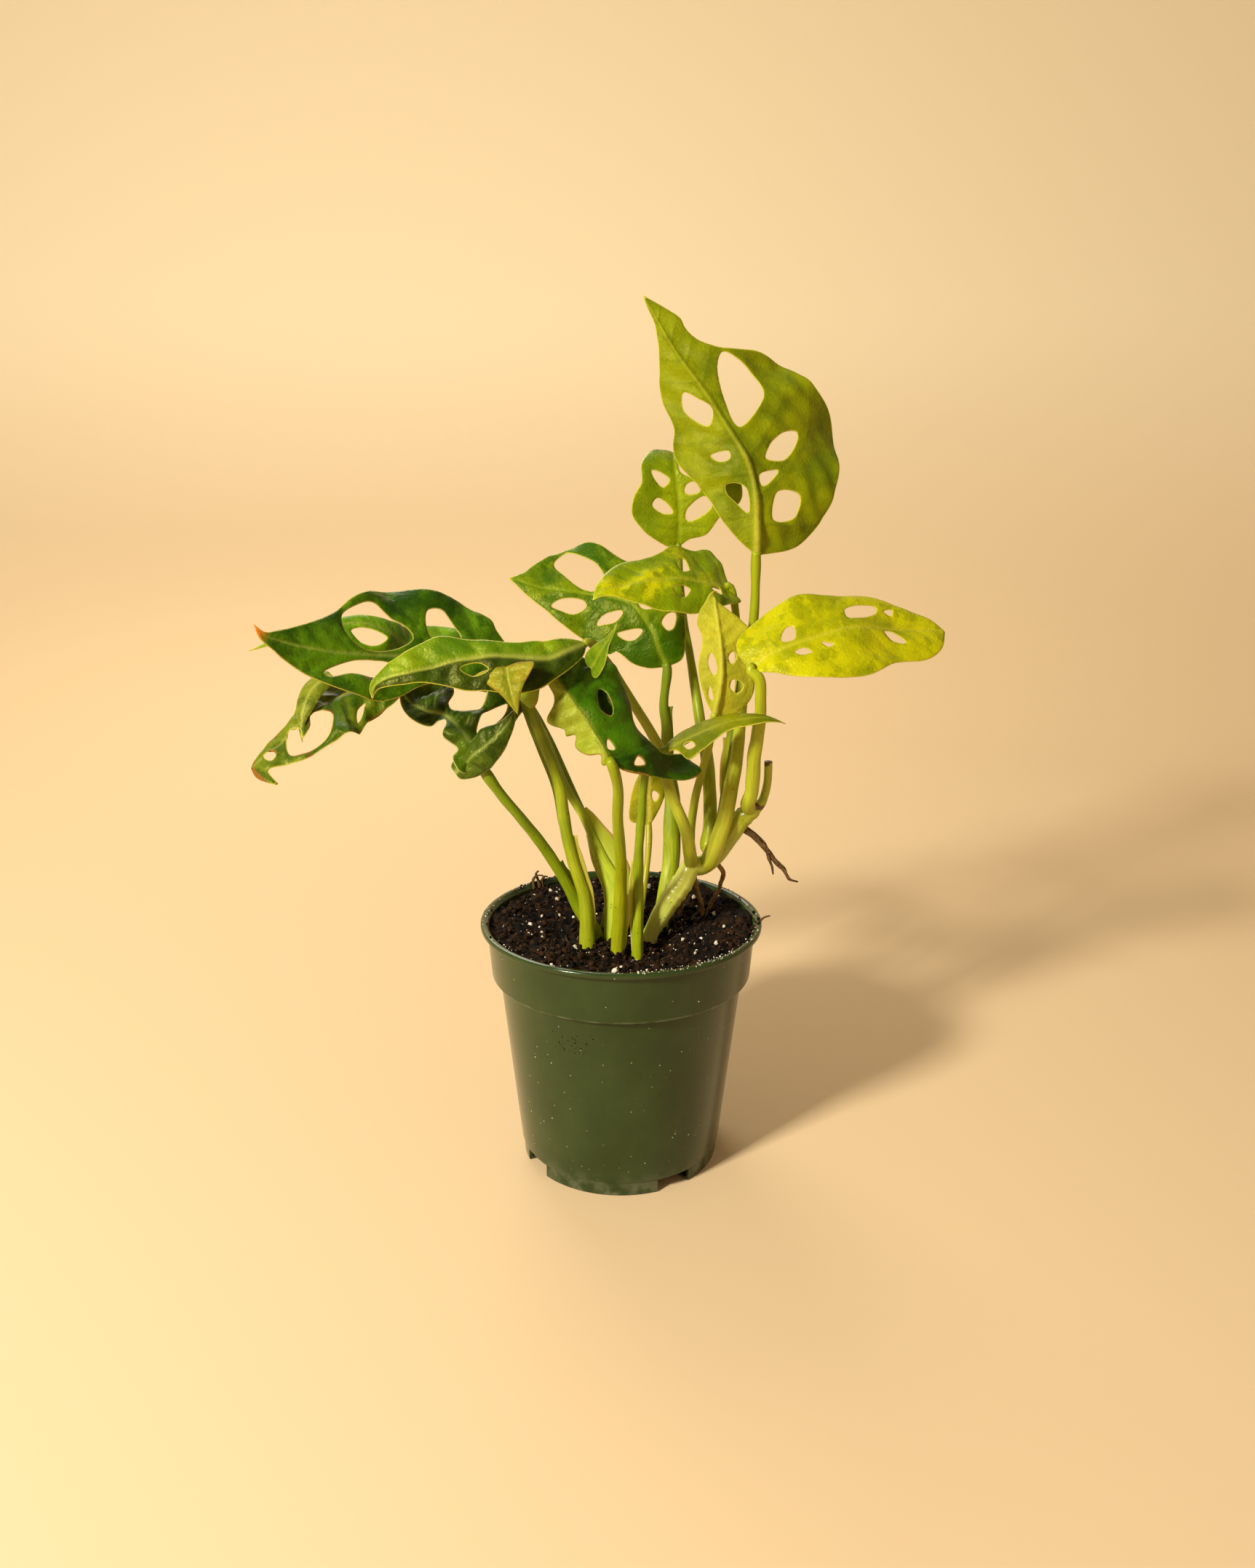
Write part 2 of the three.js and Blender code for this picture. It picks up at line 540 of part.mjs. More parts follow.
// A leaf blade as a bent sheet: where a point of the flat drawing lies in space
class Blade {
  constructor(spec) {
    Object.assign(this, spec);
    this.curve = new THREE.CatmullRomCurve3(vectors(spec.rib), false, "centripetal");
    this.length = this.curve.getLength();
  }
  at(u, v, rise) {
    const clamped = THREE.MathUtils.clamp(u, 0, this.length);
    const s = clamped / this.length;
    const point = this.curve.getPointAt(s);
    const along = this.curve.getTangentAt(s);
    point.addScaledVector(along, u - clamped);
    const turn = s * (this.face.length - 1);
    const i = Math.min(Math.floor(turn), Math.max(this.face.length - 2, 0));
    const up = new THREE.Vector3(...this.face[i]);
    if (this.face.length > 1) up.lerp(new THREE.Vector3(...this.face[i + 1]), turn - i);
    up.addScaledVector(along, -up.dot(along)).normalize();
    const across = along.clone().cross(up);
    const side = v >= 0 ? 1 : -1;
    const out = Math.abs(v);
    const start = THREE.MathUtils.degToRad(this.fold[v >= 0 ? 0 : 1]);
    const bend = THREE.MathUtils.degToRad(this.curl[v >= 0 ? 0 : 1]) / 20 || 1e-6;
    const end = start + bend * out;
    const [height, wavelength, phase] = this.wave;
    const ripple =
      height *
      (out / 20) ** 2 *
      Math.sin((2 * Math.PI * u) / wavelength + phase + (v >= 0 ? 1.7 : 0));
    point.addScaledVector(across, (side * (Math.sin(end) - Math.sin(start))) / bend);
    point.addScaledVector(up, (Math.cos(start) - Math.cos(end)) / bend + ripple);
    const lean = out < 0.1 ? 0 : end;
    point.addScaledVector(up, rise * Math.cos(lean));
    point.addScaledVector(across, -side * rise * Math.sin(lean));
    return point;
  }
}

const flat = (points) => points.map(([u, v]) => new THREE.Vector3(u, v, 0));
const spaced = (points, closed, step, least) => {
  const curve = new THREE.CatmullRomCurve3(flat(points), closed, "centripetal");
  const count = Math.max(least, Math.round(curve.getLength() / step));
  return curve.getSpacedPoints(count).slice(0, count);
};

// Points inside the outline and outside every hole, clear of both by room
function clearOf(loops, u, v, room) {
  let within = false;
  for (const loop of loops)
    for (let i = 0, j = loop.length - 1; i < loop.length; j = i++) {
      const a = loop[i];
      const b = loop[j];
      const du = b.x - a.x;
      const dv = b.y - a.y;
      const t = THREE.MathUtils.clamp(
        ((u - a.x) * du + (v - a.y) * dv) / (du * du + dv * dv),
        0,
        1,
      );
      if (Math.hypot(u - a.x - t * du, v - a.y - t * dv) < room) return false;
      if (a.y > v !== b.y > v && u < a.x + (du * (v - a.y)) / dv) within = !within;
    }
  return within;
}

// Turns shared edges round until the triangles are as even as they can be
function even(points, triangles) {
  const cross = (a, b, c) =>
    (b.x - a.x) * (c.y - a.y) - (b.y - a.y) * (c.x - a.x);
  const angleAt = (p, a, b) => {
    const d = Math.hypot(a.x - p.x, a.y - p.y) * Math.hypot(b.x - p.x, b.y - p.y);
    const dot = (a.x - p.x) * (b.x - p.x) + (a.y - p.y) * (b.y - p.y);
    return Math.acos(THREE.MathUtils.clamp(dot / d, -1, 1));
  };
  for (let round = 0, changed = true; changed && round < 60; round++) {
    changed = false;
    const edges = new Map();
    triangles.forEach((tri, t) =>
      tri.forEach((a, k) => edges.set(a + "," + tri[(k + 1) % 3], [t, tri[(k + 2) % 3]])),
    );
    const touched = new Set();
    for (const [key, [t, c]] of edges) {
      const [a, b] = key.split(",").map(Number);
      const other = edges.get(b + "," + a);
      if (a > b || !other) continue;
      const [s, d] = other;
      if (touched.has(t) || touched.has(s)) continue;
      const [A, B, C, E] = [a, b, c, d].map((i) => points[i]);
      if (angleAt(C, A, B) + angleAt(E, A, B) <= Math.PI + 1e-6) continue;
      if (cross(C, A, E) < 1e-6 || cross(C, E, B) < 1e-6) continue;
      triangles[t] = [c, a, d];
      triangles[s] = [c, d, b];
      touched.add(t).add(s);
      changed = true;
    }
  }
}

// The flat triangles of a leaf, and the loops that bound them
function drawing(blade) {
  const tip = [blade.length, 0];
  const outline = [
    ...spaced([[0, 0], ...blade.plus, tip], false, marginStep, 6),
    ...spaced([tip, ...[...blade.minus].reverse(), [0, 0]], false, marginStep, 6),
  ];
  const holes = blade.holes.map((hole) => spaced(hole, true, holeStep, 6));
  if (THREE.ShapeUtils.area(outline) < 0) outline.reverse();
  for (const hole of holes) if (THREE.ShapeUtils.area(hole) > 0) hole.reverse();
  const loops = [outline, ...holes];
  const inner = [];
  const add = (u, v) => {
    // a hair off the straight rows, so that no three points lie on one line
    const off = 0.01 * Math.sin(12.9 * u + 78.2 * v);
    inner.push(new THREE.Vector3(u + off, v + off, 0));
  };
  for (let u = 4; u < blade.length - 3; u += 6) if (clearOf(loops, u, 0, 1.2)) add(u, 0);
  for (let row = -9; row <= 9; row++)
    for (let u = -24; u < blade.length + 8; u += innerStep) {
      const v = row * innerStep * 0.87;
      const shifted = u + (row % 2 ? innerStep / 2 : 0);
      if (row !== 0 && clearOf(loops, shifted, v, 0.42 * innerStep)) add(shifted, v);
    }
  const rim = outline.length + holes.flat().length;
  const points = [...outline, ...holes.flat(), ...inner];
  const triangles = THREE.ShapeUtils.triangulateShape(outline, [
    ...holes,
    ...inner.map((p) => [p]),
  ]);
  even(points, triangles);
  return { points, triangles, loops, rim };
}

// A loop moved away from the blade, which is to its right as the loop runs
const widened = (loop, by) =>
  loop.map((p, k) => {
    const run = loop[(k + 1) % loop.length].clone().sub(loop.at(k - 1)).normalize();
    return new THREE.Vector3(p.x + by * run.y, p.y - by * run.x, 0);
  });

// A blade solid: the same triangles on both faces, and a wall along each loop
function bladeShape(blade, extra = 0) {
  const { points: drawn, triangles, loops, rim } = drawing(blade);
  const points = [...loops.flatMap((loop) => widened(loop, extra)), ...drawn.slice(rim)];
  const positions = [];
  const index = [];
  for (const rise of [bladeThickness / 2 + extra, -bladeThickness / 2 - extra])
    points.forEach((p, i) => {
      const onMidrib = i >= rim && Math.abs(p.y) < 0.1;
      const q = blade.at(p.x, p.y, rise < 0 && onMidrib ? rise - midribRise : rise);
      positions.push(q.x, q.y, q.z);
    });
  const n = points.length;
  for (const [a, b, c] of triangles) {
    index.push(a, c, b);
    index.push(a + n, b + n, c + n);
  }
  let first = 0;
  for (const loop of loops) {
    loop.forEach((_, k) => {
      const a = first + k;
      const b = first + ((k + 1) % loop.length);
      index.push(a, b, a + n, b, b + n, a + n);
    });
    first += loop.length;
  }
  return indexed(positions, index);
}

for (const [name, spec] of Object.entries(leaves)) {
  const blade = new Blade(spec);
  place(name + "_leaf", bladeShape(blade), spec.colour, 0.4);
  const standing = spec.petiole[0][2] === soilLevel;
  const stalk = [...spec.petiole, spec.rib[0]];
  const path = standing ? sunk(stalk) : vectors(stalk);
  const tube = solid(sweep(path, spec.section, 0, clearance));
  const room = solid(bladeShape(blade, clearance));
  place(
    name + "_petiole",
    shapeOf(largest(tube.subtract(vineRoom).subtract(room))),
    "#8fa32f",
    0.45,
  );
  if (standing) soil = soil.subtract(solid(sweep(path, spec.section, clearance, 0)));
}

for (const [name, { path, section }] of Object.entries(roots)) {
  const points = vectors(path);
  const end = points.at(-1);
  const rooted = end.z === soilLevel;
  if (rooted) points.push(new THREE.Vector3(end.x, end.y, soilLevel - stemDepth));
  const root = solid(sweep(points, section, 0, 0, 6, 7)).subtract(vineRoom);
  place(name, shapeOf(largest(root)), "#6e5224", 0.8);
  if (rooted) soil = soil.subtract(solid(sweep(points, section, clearance, 0, 6, 7)));
}

place("pot", shapeOf(pot), "#4d6a45", 0.35);
place("soil", shapeOf(largest(soil)), "#2b1c14", 0.95);

export default object;
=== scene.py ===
# %% [markdown]
# # A potted neon swiss cheese vine
# The imported plant gives every piece its place: a 4 inch nursery pot, the soil in it, a short
# vine stem, aerial roots, and fourteen leaves on their petioles. Its solids are plain, so
# each is replaced here by a finer piece in the same place. The first cell loads the packed
# plant.

# %% Load the imported plant
import math

import bmesh
import bpy
import numpy as np
from mathutils import Matrix, Vector, geometry, noise


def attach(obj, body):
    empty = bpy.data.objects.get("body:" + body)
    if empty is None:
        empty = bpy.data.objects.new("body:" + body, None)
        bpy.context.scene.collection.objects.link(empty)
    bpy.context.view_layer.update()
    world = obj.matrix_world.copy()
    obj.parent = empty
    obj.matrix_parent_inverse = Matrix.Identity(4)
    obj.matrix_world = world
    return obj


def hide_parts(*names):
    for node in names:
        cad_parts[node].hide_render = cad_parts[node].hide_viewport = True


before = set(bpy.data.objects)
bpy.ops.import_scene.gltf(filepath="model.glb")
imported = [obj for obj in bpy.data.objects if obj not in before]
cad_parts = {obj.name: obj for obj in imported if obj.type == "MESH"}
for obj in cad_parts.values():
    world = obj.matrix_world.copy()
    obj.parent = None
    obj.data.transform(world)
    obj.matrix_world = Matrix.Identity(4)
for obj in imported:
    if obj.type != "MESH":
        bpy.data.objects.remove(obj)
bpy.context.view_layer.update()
MM = 0.001
print("nodes in the packed plant:", len(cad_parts))

# %% [markdown]
# ## The camera
# The photograph was taken from a little above the leaves. Its place, tilt and lens were
# solved from the pot's circles, so the render frames the plant as the photograph does.
# A lens in Blender is given for a 36 mm sensor, whose long side is the picture's height.

# %% Set up the camera
PHOTO_HEIGHT = 2156
FOCAL_PIXELS = 1673.8
SENSOR_SIZE = 36
NEAREST_SEEN = 0.01
CAMERA_PLACE = Vector((2.0, -413.3, 257.0)) * MM
CAMERA_PITCH = math.radians(15.576)
CAMERA_ROLL = 0.0058

lens = bpy.data.cameras.new("camera")
lens.sensor_width = SENSOR_SIZE
lens.lens = SENSOR_SIZE * FOCAL_PIXELS / PHOTO_HEIGHT
lens.clip_start = NEAREST_SEEN
camera = bpy.data.objects.new("camera", lens)
camera.matrix_world = (
    Matrix.Translation(CAMERA_PLACE)
    @ Matrix.Rotation(math.pi / 2 - CAMERA_PITCH, 4, "X")
    @ Matrix.Rotation(CAMERA_ROLL, 4, "Z")
)
bpy.context.scene.collection.objects.link(camera)
bpy.context.scene.camera = camera
print("lens", round(lens.lens, 2), "mm")

# %% [markdown]
# ## Lines to build on
# Stalks, roots, midribs and leaf outlines are all smooth lines through a few points. The
# same kind of spline is used for each, and a line is then cut into even steps, so that a
# mesh built along it has even faces.

# %% Smooth lines through points
LEAST_POINTS = 4


def smooth(points, closed=False, per=16):
    """A dense smooth line through the points, each corner rounded by its own spacing."""
    p = np.asarray(points, float)
    ends = (p[-1:], p[:2]) if closed else (2 * p[:1] - p[1:2], 2 * p[-1:] - p[-2:-1])
    p = np.vstack([ends[0], p, ends[1]])
    t = np.linspace(0, 1, per, endpoint=False)[:, None]
    runs = []
    for a, b, c, d in zip(p, p[1:], p[2:], p[3:]):
        ab, bc, cd = (max(np.linalg.norm(y - x), 1e-6) ** 0.5 for x, y in ((a, b), (b, c), (c, d)))
        start = ((b - a) / ab - (c - a) / (ab + bc) + (c - b) / bc) * bc
        end = ((c - b) / bc - (d - b) / (bc + cd) + (d - c) / cd) * bc
        runs.append(b + start * t + (3 * (c - b) - 2 * start - end) * t**2
                    + (2 * (b - c) + start + end) * t**3)
    if not closed:
        runs.append(p[-2:-1])
    return np.vstack(runs)


def distances_along(line):
    """How far along a line each of its points lies."""
    return np.concatenate([[0], np.cumsum(np.linalg.norm(np.diff(line, axis=0), axis=1))])


def evenly(line, step, closed=False):
    """The same line with its points at even steps."""
    if closed:
        line = np.vstack([line, line[:1]])
    run = distances_along(line)
    count = max(LEAST_POINTS, round(run[-1] / step))
    at = np.linspace(0, run[-1], count, endpoint=not closed)
    return np.stack([np.interp(at, run, line[:, k]) for k in range(line.shape[1])], axis=1)


square = evenly(smooth([[0, 0], [9, 0], [9, 9], [0, 9]], True), 1, True)
print("a rounded square:", len(square), "points")

# %% [markdown]
# ## Natural unevenness
# Nothing that grew is even. This helper gives a smooth unevenness from -1 to 1 for many
# points at once, as a sum of slow waves in random directions. The directions come from a
# numbered seed, so that each run gives the same plant.

# %% Smooth unevenness
WAVES = 8
WAVE_RATE = 2.2
WAVE_TOTAL = 3.2


def wobble(points, size, seed):
    """Repeatable smooth unevenness for each point, with bumps about size across."""
    chance = np.random.default_rng(seed)
    waves = chance.normal(size=(WAVES, points.shape[1])) * WAVE_RATE / size
    return np.sin(points @ waves.T + chance.uniform(0, 2 * math.pi, WAVES)).sum(axis=1) / WAVE_TOTAL


sample = wobble(np.random.default_rng(1).uniform(0, 50, (500, 2)), 8, 2)
print("unevenness from", round(float(sample.min()), 2), "to", round(float(sample.max()), 2))

# %% [markdown]
# ## A piece from points and faces
# Every piece is made the same way: its points in millimetres, its faces, a material, and the
# imported solids it stands for. Marks are numbers kept on the points, such as how near a
# point is to a vein, which the materials read as masks. Stalks, sheaths, the pot and the
# floor are all rows of points that close on themselves, so they share one way to join their
# rows.

# %% Make a piece
def wrapped(rows, count, inward=False):
    """Four-sided faces between rows of count points, where each row closes on itself."""
    faces = []
    for i in range(rows - 1):
        for k in range(count):
            a, b = i * count + k, i * count + (k + 1) % count
            faces.append([a, a + count, b + count, b] if inward else [a, b, b + count, a + count])
    return faces


def make_piece(name, points, faces, material, stands_for=(), marks=None):
    """A smooth-shaded mesh object that rides on the plant."""
    mesh = bpy.data.meshes.new(name)
    mesh.from_pydata((np.asarray(points) * MM).tolist(), [], faces)
    for label, values in (marks or {}).items():
        mark = mesh.attributes.new(label, "FLOAT", "POINT")
        mark.data.foreach_set("value", np.asarray(values, np.float32))
    mesh.validate()
    mesh.shade_smooth()
    mesh.materials.append(material)
    piece = bpy.data.objects.new(name, mesh)
    bpy.context.scene.collection.objects.link(piece)
    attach(piece, "root")
    if stands_for:
        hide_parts(*stands_for)
    return piece


print("two rows of four points make", len(wrapped(2, 4)), "faces")

# %% [markdown]
# ## Shader helpers
# Materials are node trees. These helpers add a node with its inputs in one line, where an
# input is either a fixed value or the output of another node, and keep the material cells
# short enough to read.

# %% Shader helpers
def add(tree, kind, inputs=None, **settings):
    """Adds a shader node. Inputs are named or numbered, and hold a value or a socket."""
    made = tree.nodes.new("ShaderNode" + kind)
    for key, value in settings.items():
        setattr(made, key, value)
    for key, value in (inputs or {}).items():
        if isinstance(value, bpy.types.NodeSocket):
            tree.links.new(value, made.inputs[key])
        else:
            made.inputs[key].default_value = value
    return made


def mixed(tree, share, first, second):
    """A colour between two colours."""
    return add(tree, "Mix", {0: share, 6: first, 7: second}, data_type="RGBA").outputs[2]


def ranged(tree, value, low, high, to_low=0.0, to_high=1.0):
    """A value moved from one range to another, easing at both ends."""
    inputs = {"Value": value, 1: low, 2: high, 3: to_low, 4: to_high}
    return add(tree, "MapRange", inputs, interpolation_type="SMOOTHSTEP").outputs[0]


def maths(tree, operation, first, second=0.0):
    """One sum on one or two values."""
    return add(tree, "Math", {0: first, 1: second}, operation=operation).outputs[0]


def mark(tree, label):
    """A number kept on the points of the mesh."""
    return add(tree, "Attribute", attribute_name=label).outputs["Fac"]


def place_scaled(tree, x, y, z):
    """The point's place on the plant, scaled along each axis."""
    where = add(tree, "TexCoord").outputs["Object"]
    return add(tree, "Mapping", {"Vector": where, "Scale": (x, y, z)}).outputs[0]


def cloudy(tree, where, scale, detail=3.0, roughness=0.55):
    """Soft random clouds from 0 to 1."""
    inputs = {"Vector": where, "Scale": scale, "Detail": detail, "Roughness": roughness}
    return add(tree, "TexNoise", inputs).outputs[0]


def colour(hexadecimal):
    """A screen colour such as 8fa32f as the linear colour that shaders use."""
    screen = [int(hexadecimal[i : i + 2], 16) / 255 for i in (0, 2, 4)]
    linear = [c / 12.92 if c <= 0.04045 else ((c + 0.055) / 1.055) ** 2.4 for c in screen]
    return (*linear, 1.0)


def new_group(name, takes, gives):
    """An effect as a node group, with its inputs and outputs ready to link."""
    tree = bpy.data.node_groups.new(name, "ShaderNodeTree")
    for label, value in takes.items():
        kind = "NodeSocketColor" if isinstance(value, tuple) else "NodeSocketFloat"
        tree.interface.new_socket(label, in_out="INPUT", socket_type=kind).default_value = value
    for label, kind in gives.items():
        tree.interface.new_socket(label, in_out="OUTPUT", socket_type="NodeSocket" + kind)
    return tree, tree.nodes.new("NodeGroupInput").outputs, tree.nodes.new("NodeGroupOutput").inputs


def use_group(tree, group, **values):
    """Places an effect in a tree with its own values, and gives its outputs."""
    made = tree.nodes.new("ShaderNodeGroup")
    made.node_tree = group
    for label, value in values.items():
        socket = made.inputs[label.replace("_", " ")]
        if isinstance(value, bpy.types.NodeSocket):
            tree.links.new(value, socket)
        else:
            socket.default_value = value
    return made.outputs


def new_material(name, **fixed):
    """A material with one Principled shader, and its fixed values set on the shader."""
    material = bpy.data.materials.new(name)
    material.use_nodes = True
    shader = material.node_tree.nodes["Principled BSDF"]
    for label, value in fixed.items():
        shader.inputs[label.replace("_", " ")].default_value = value
    return material, material.node_tree, shader


def dress(tree, shader, base, roughness, height, depth=0.0002):
    """Links colour, roughness and bump height to the shader. depth is the bump's, in metres."""
    tree.links.new(base, shader.inputs["Base Color"])
    tree.links.new(roughness, shader.inputs["Roughness"])
    bump = add(tree, "Bump", {"Strength": 1.0, "Distance": depth, "Height": height})
    tree.links.new(bump.outputs[0], shader.inputs["Normal"])


print("neon green is", [round(c, 3) for c in colour("b3b61f")])

# %% [markdown]
# ## Specks, an effect that many finishes share
# Stalks, leaves and the pot all carry small specks: pores, dirt, or dust from the soil. A
# Voronoi texture scatters one point in each cell, and a second one decides which cells have
# a speck at all. As a group it can be placed in each material with its own size and share.

# %% Specks
specks_group, takes, gives = new_group(
    "Specks", {"Scale": 400.0, "Size": 0.2, "Share": 0.3}, {"Mask": "Float"}
)
where = place_scaled(specks_group, 1, 1, 1)
dots = add(specks_group, "TexVoronoi", {"Vector": where, "Scale": takes["Scale"]})
picked = add(specks_group, "SeparateColor", {0: dots.outputs["Color"]}).outputs[0]
chosen = maths(specks_group, "LESS_THAN", picked, takes["Share"])
near = maths(specks_group, "LESS_THAN", dots.outputs["Distance"], takes["Size"])
specks_group.links.new(maths(specks_group, "MULTIPLY", chosen, near), gives["Mask"])
print("effect:", specks_group.name)

# %% [markdown]
# ## Leaf tissue
# A young neon leaf isn't one green. The blade is mottled like watercolour, with darker
# blotches that are partly its own and partly painted shade, dappled as by the leaves above.
# Its veins are paler, and so is its thin rim, partly its own colour and partly a painted
# highlight where the cut edges catch the light. The underside is duller and lighter than the
# face. One half of a blade can take a painted shading, shade on some leaves and light on
# one. Between the finest veins each cell of tissue is puffed a little. Colours come in as
# inputs, so that one group dresses the brightest and the darkest leaf.

# %% Leaf tissue
CLOUD_BLUR = 0.13
CELLS_SCALE = 640.0
NET_SHARE, VEIN_SHARE, PORE_SHARE, RIB_SHARE = 0.07, 0.55, 0.14, 0.75
UNDER_ROUGH, DRY_ROUGH = 0.12, 0.2
PUFF_HEIGHT, FINE_HEIGHT = 0.3, 0.25

tissue_group, takes, gives = new_group(
    "Leaf tissue",
    {
        "Deep": colour("5f7a12"), "Light": colour("9aab2a"), "Line": colour("8a9a20"),
        "Rib": colour("b6bd55"), "Rim": colour("c9c26a"), "Dry": colour("7a4a14"),
        "Half": colour("3c5a14"), "Balance": 0.5, "Blotch": 0.4, "Dull": 0.3,
    },
    {"Color": "Color", "Roughness": "Float", "Height": "Float"},
)
t = tissue_group
where = place_scaled(t, 1, 1, 1)
clouds = cloudy(t, where, scale=62, detail=4, roughness=0.6)
balance_low = maths(t, "SUBTRACT", takes["Balance"], CLOUD_BLUR)
balance_high = maths(t, "ADD", takes["Balance"], CLOUD_BLUR)
blade = mixed(t, ranged(t, clouds, balance_low, balance_high), takes["Light"], takes["Deep"])
# darker blotches: partly the leaf's own mottling, partly painted shade dappled as by the leaves above
patches = cloudy(t, where, scale=120, detail=3, roughness=0.6)
blotches_and_painted_shade = maths(t, "MULTIPLY", ranged(t, patches, 0.53, 0.6), takes["Blotch"])
blade = mixed(t, blotches_and_painted_shade, blade, takes["Deep"])
fine = cloudy(t, where, scale=460, detail=4, roughness=0.65)
cells = add(t, "TexVoronoi", {"Vector": where, "Scale": CELLS_SCALE}, feature="DISTANCE_TO_EDGE").outputs[0]
net = ranged(t, cells, 0.0, 0.1, 1.0, 0.0)
blade = mixed(t, maths(t, "MULTIPLY", net, NET_SHARE), blade, takes["Line"])
under = mark(t, "under")
blade = mixed(t, maths(t, "MULTIPLY", under, takes["Dull"]), blade, takes["Rib"])
blade = mixed(t, maths(t, "MULTIPLY", mark(t, "vein"), VEIN_SHARE), blade, takes["Line"])
# painted shading: one half of some blades takes the Half colour, painted shade on a side turned from the
# light or painted light on a side turned towards it
other = maths(t, "MULTIPLY", mark(t, "half"), ranged(t, patches, 0.4, 0.62, 0.98, 0.78))
blade = mixed(t, other, blade, takes["Half"])
blade = mixed(t, ranged(t, fine, 0.45, 0.75, 0.0, PORE_SHARE), blade, colour("1c2600"))
blade = mixed(t, maths(t, "MULTIPLY", mark(t, "rib"), RIB_SHARE), blade, takes["Rib"])
# paler rim: partly the edge's own colour, partly a painted highlight on cut edges that catch the light
blade = mixed(t, ranged(t, mark(t, "edge"), 0.1, 0.42, 0.8, 0.0), blade, takes["Rim"])
dry = mark(t, "dry")
blade = mixed(t, ranged(t, dry, 0.25, 0.8), blade, takes["Dry"])
t.links.new(blade, gives["Color"])
rough = maths(t, "ADD", ranged(t, fine, 0.3, 0.7, 0.38, 0.48), maths(t, "MULTIPLY", under, UNDER_ROUGH))
t.links.new(maths(t, "ADD", rough, maths(t, "MULTIPLY", dry, DRY_ROUGH)), gives["Roughness"])
puff = maths(t, "MULTIPLY", ranged(t, cells, 0.0, 0.35), PUFF_HEIGHT)
t.links.new(maths(t, "ADD", puff, maths(t, "MULTIPLY", fine, FINE_HEIGHT)), gives["Height"])
print("effect:", t.name)


def leaf_material(name, deep, light, line, rib, through=0.25, balance=0.5, blotch=0.4, dull=0.3, **tints):
    """The finish of one leaf. Light passes through the thin blade as subsurface light."""
    material, tree, shader = new_material(
        name, Subsurface_Weight=through, Subsurface_Radius=(1.0, 1.0, 0.05), Subsurface_Scale=0.0015,
        Specular_IOR_Level=0.24, Specular_Tint=(1.0, 0.9, 0.25, 1.0),
    )
    # Rim is partly a painted highlight on lit cut edges, and Half a painted shading for one side of the
    # blade
    shades = {"Rim": "b3aa3c", "Dry": "7a4a14", "Half": "3c5a14"}
    shades.update({label.capitalize(): shade for label, shade in tints.items()})
    shades.update(Deep=deep, Light=light, Line=line, Rib=rib)
    colours = {label: colour(shade) for label, shade in shades.items()}
    out = use_group(tree, tissue_group, Balance=balance, Blotch=blotch, Dull=dull, **colours)
    dress(tree, shader, out["Color"], out["Roughness"], out["Height"])
    return material


# %% [markdown]
# ## Lengthwise fibres
# Stalks, sheaths and roots are made of fibres that run along them, seen as fine streaks.
# The points carry how far along and how far round the stalk they are, and clouds stretched
# along the first give streaks that follow every bend.

# %% Fibres
fibre_group, takes, gives = new_group(
    "Fibres", {"Streaks": 9.0, "Length": 0.12}, {"Mask": "Float", "Height": "Float"}
)
g = fibre_group
turn = maths(g, "MULTIPLY", mark(g, "turn"), 2 * math.pi)
around = [maths(g, "MULTIPLY", maths(g, turning, turn), takes["Streaks"]) for turning in ("COSINE", "SINE")]
run = maths(g, "MULTIPLY", mark(g, "run"), takes["Length"])
where = add(g, "CombineXYZ", {0: around[0], 1: around[1], 2: run}).outputs[0]
streaks = cloudy(g, where, scale=1.0, detail=4, roughness=0.6)
g.links.new(ranged(g, streaks, 0.35, 0.68), gives["Mask"])
g.links.new(streaks, gives["Height"])
print("effect:", g.name)

# %% [markdown]
# ## Stalk finish
# A petiole is pale, nearly cream, where it leaves the soil or a node, and greener towards
# its leaf. It is smooth and a little glossy, with fine streaks and a few dark specks.

# %% Stalk finish
CHANGE_BLUR = 0.35
STREAK_SHARE, SPECK_SHARE = 0.4, 0.6
SPECK_COLOUR, SCAR_COLOUR = "4a4a12", "5b3d18"


def stalk_material(name, foot, top, streak, change=0.5, share=0.22, coat=0.12):
    """The finish of one stalk: its foot and top colours, and how far up it changes."""
    material, tree, shader = new_material(
        name, Subsurface_Weight=0.2, Subsurface_Radius=(1.0, 1.0, 0.15), Subsurface_Scale=0.002,
        Specular_IOR_Level=0.4, Specular_Tint=(1.0, 0.93, 0.4, 1.0), Coat_Weight=coat, Coat_Roughness=0.18,
    )
    where = place_scaled(tree, 1, 1, 1)
    wander = ranged(tree, cloudy(tree, where, scale=60), 0.3, 0.7, -0.18, 0.18)
    along = maths(tree, "ADD", mark(tree, "along"), wander)
    greening = ranged(tree, along, change - CHANGE_BLUR, change + CHANGE_BLUR)
    base = mixed(tree, greening, colour(foot), colour(top))
    fibres = use_group(tree, fibre_group, Streaks=4.0, Length=0.1)
    base = mixed(tree, maths(tree, "MULTIPLY", fibres["Mask"], STREAK_SHARE), base, colour(streak))
    specks = use_group(tree, specks_group, Scale=520.0, Size=0.16, Share=share)["Mask"]
    base = mixed(tree, maths(tree, "MULTIPLY", specks, SPECK_SHARE), base, colour(SPECK_COLOUR))
    scar = mark(tree, "scar")
    base = mixed(tree, ranged(tree, scar, 0.2, 0.8), base, colour(SCAR_COLOUR))
    rough = ranged(tree, fibres["Mask"], 0.0, 1.0, 0.36, 0.46)
    rough = maths(tree, "ADD", rough, maths(tree, "MULTIPLY", scar, 0.3))
    dress(tree, shader, base, rough, fibres["Height"], depth=0.00018)
    return material


print("a stalk greens over", 2 * CHANGE_BLUR, "of its length")

# %% [markdown]
# ## Sheaths and roots
# A sheath is the dry papery wing left where a new leaf came out of an old stalk, pale and
# a little pink along its edge. Aerial roots are brown, dull and ridged like bark.

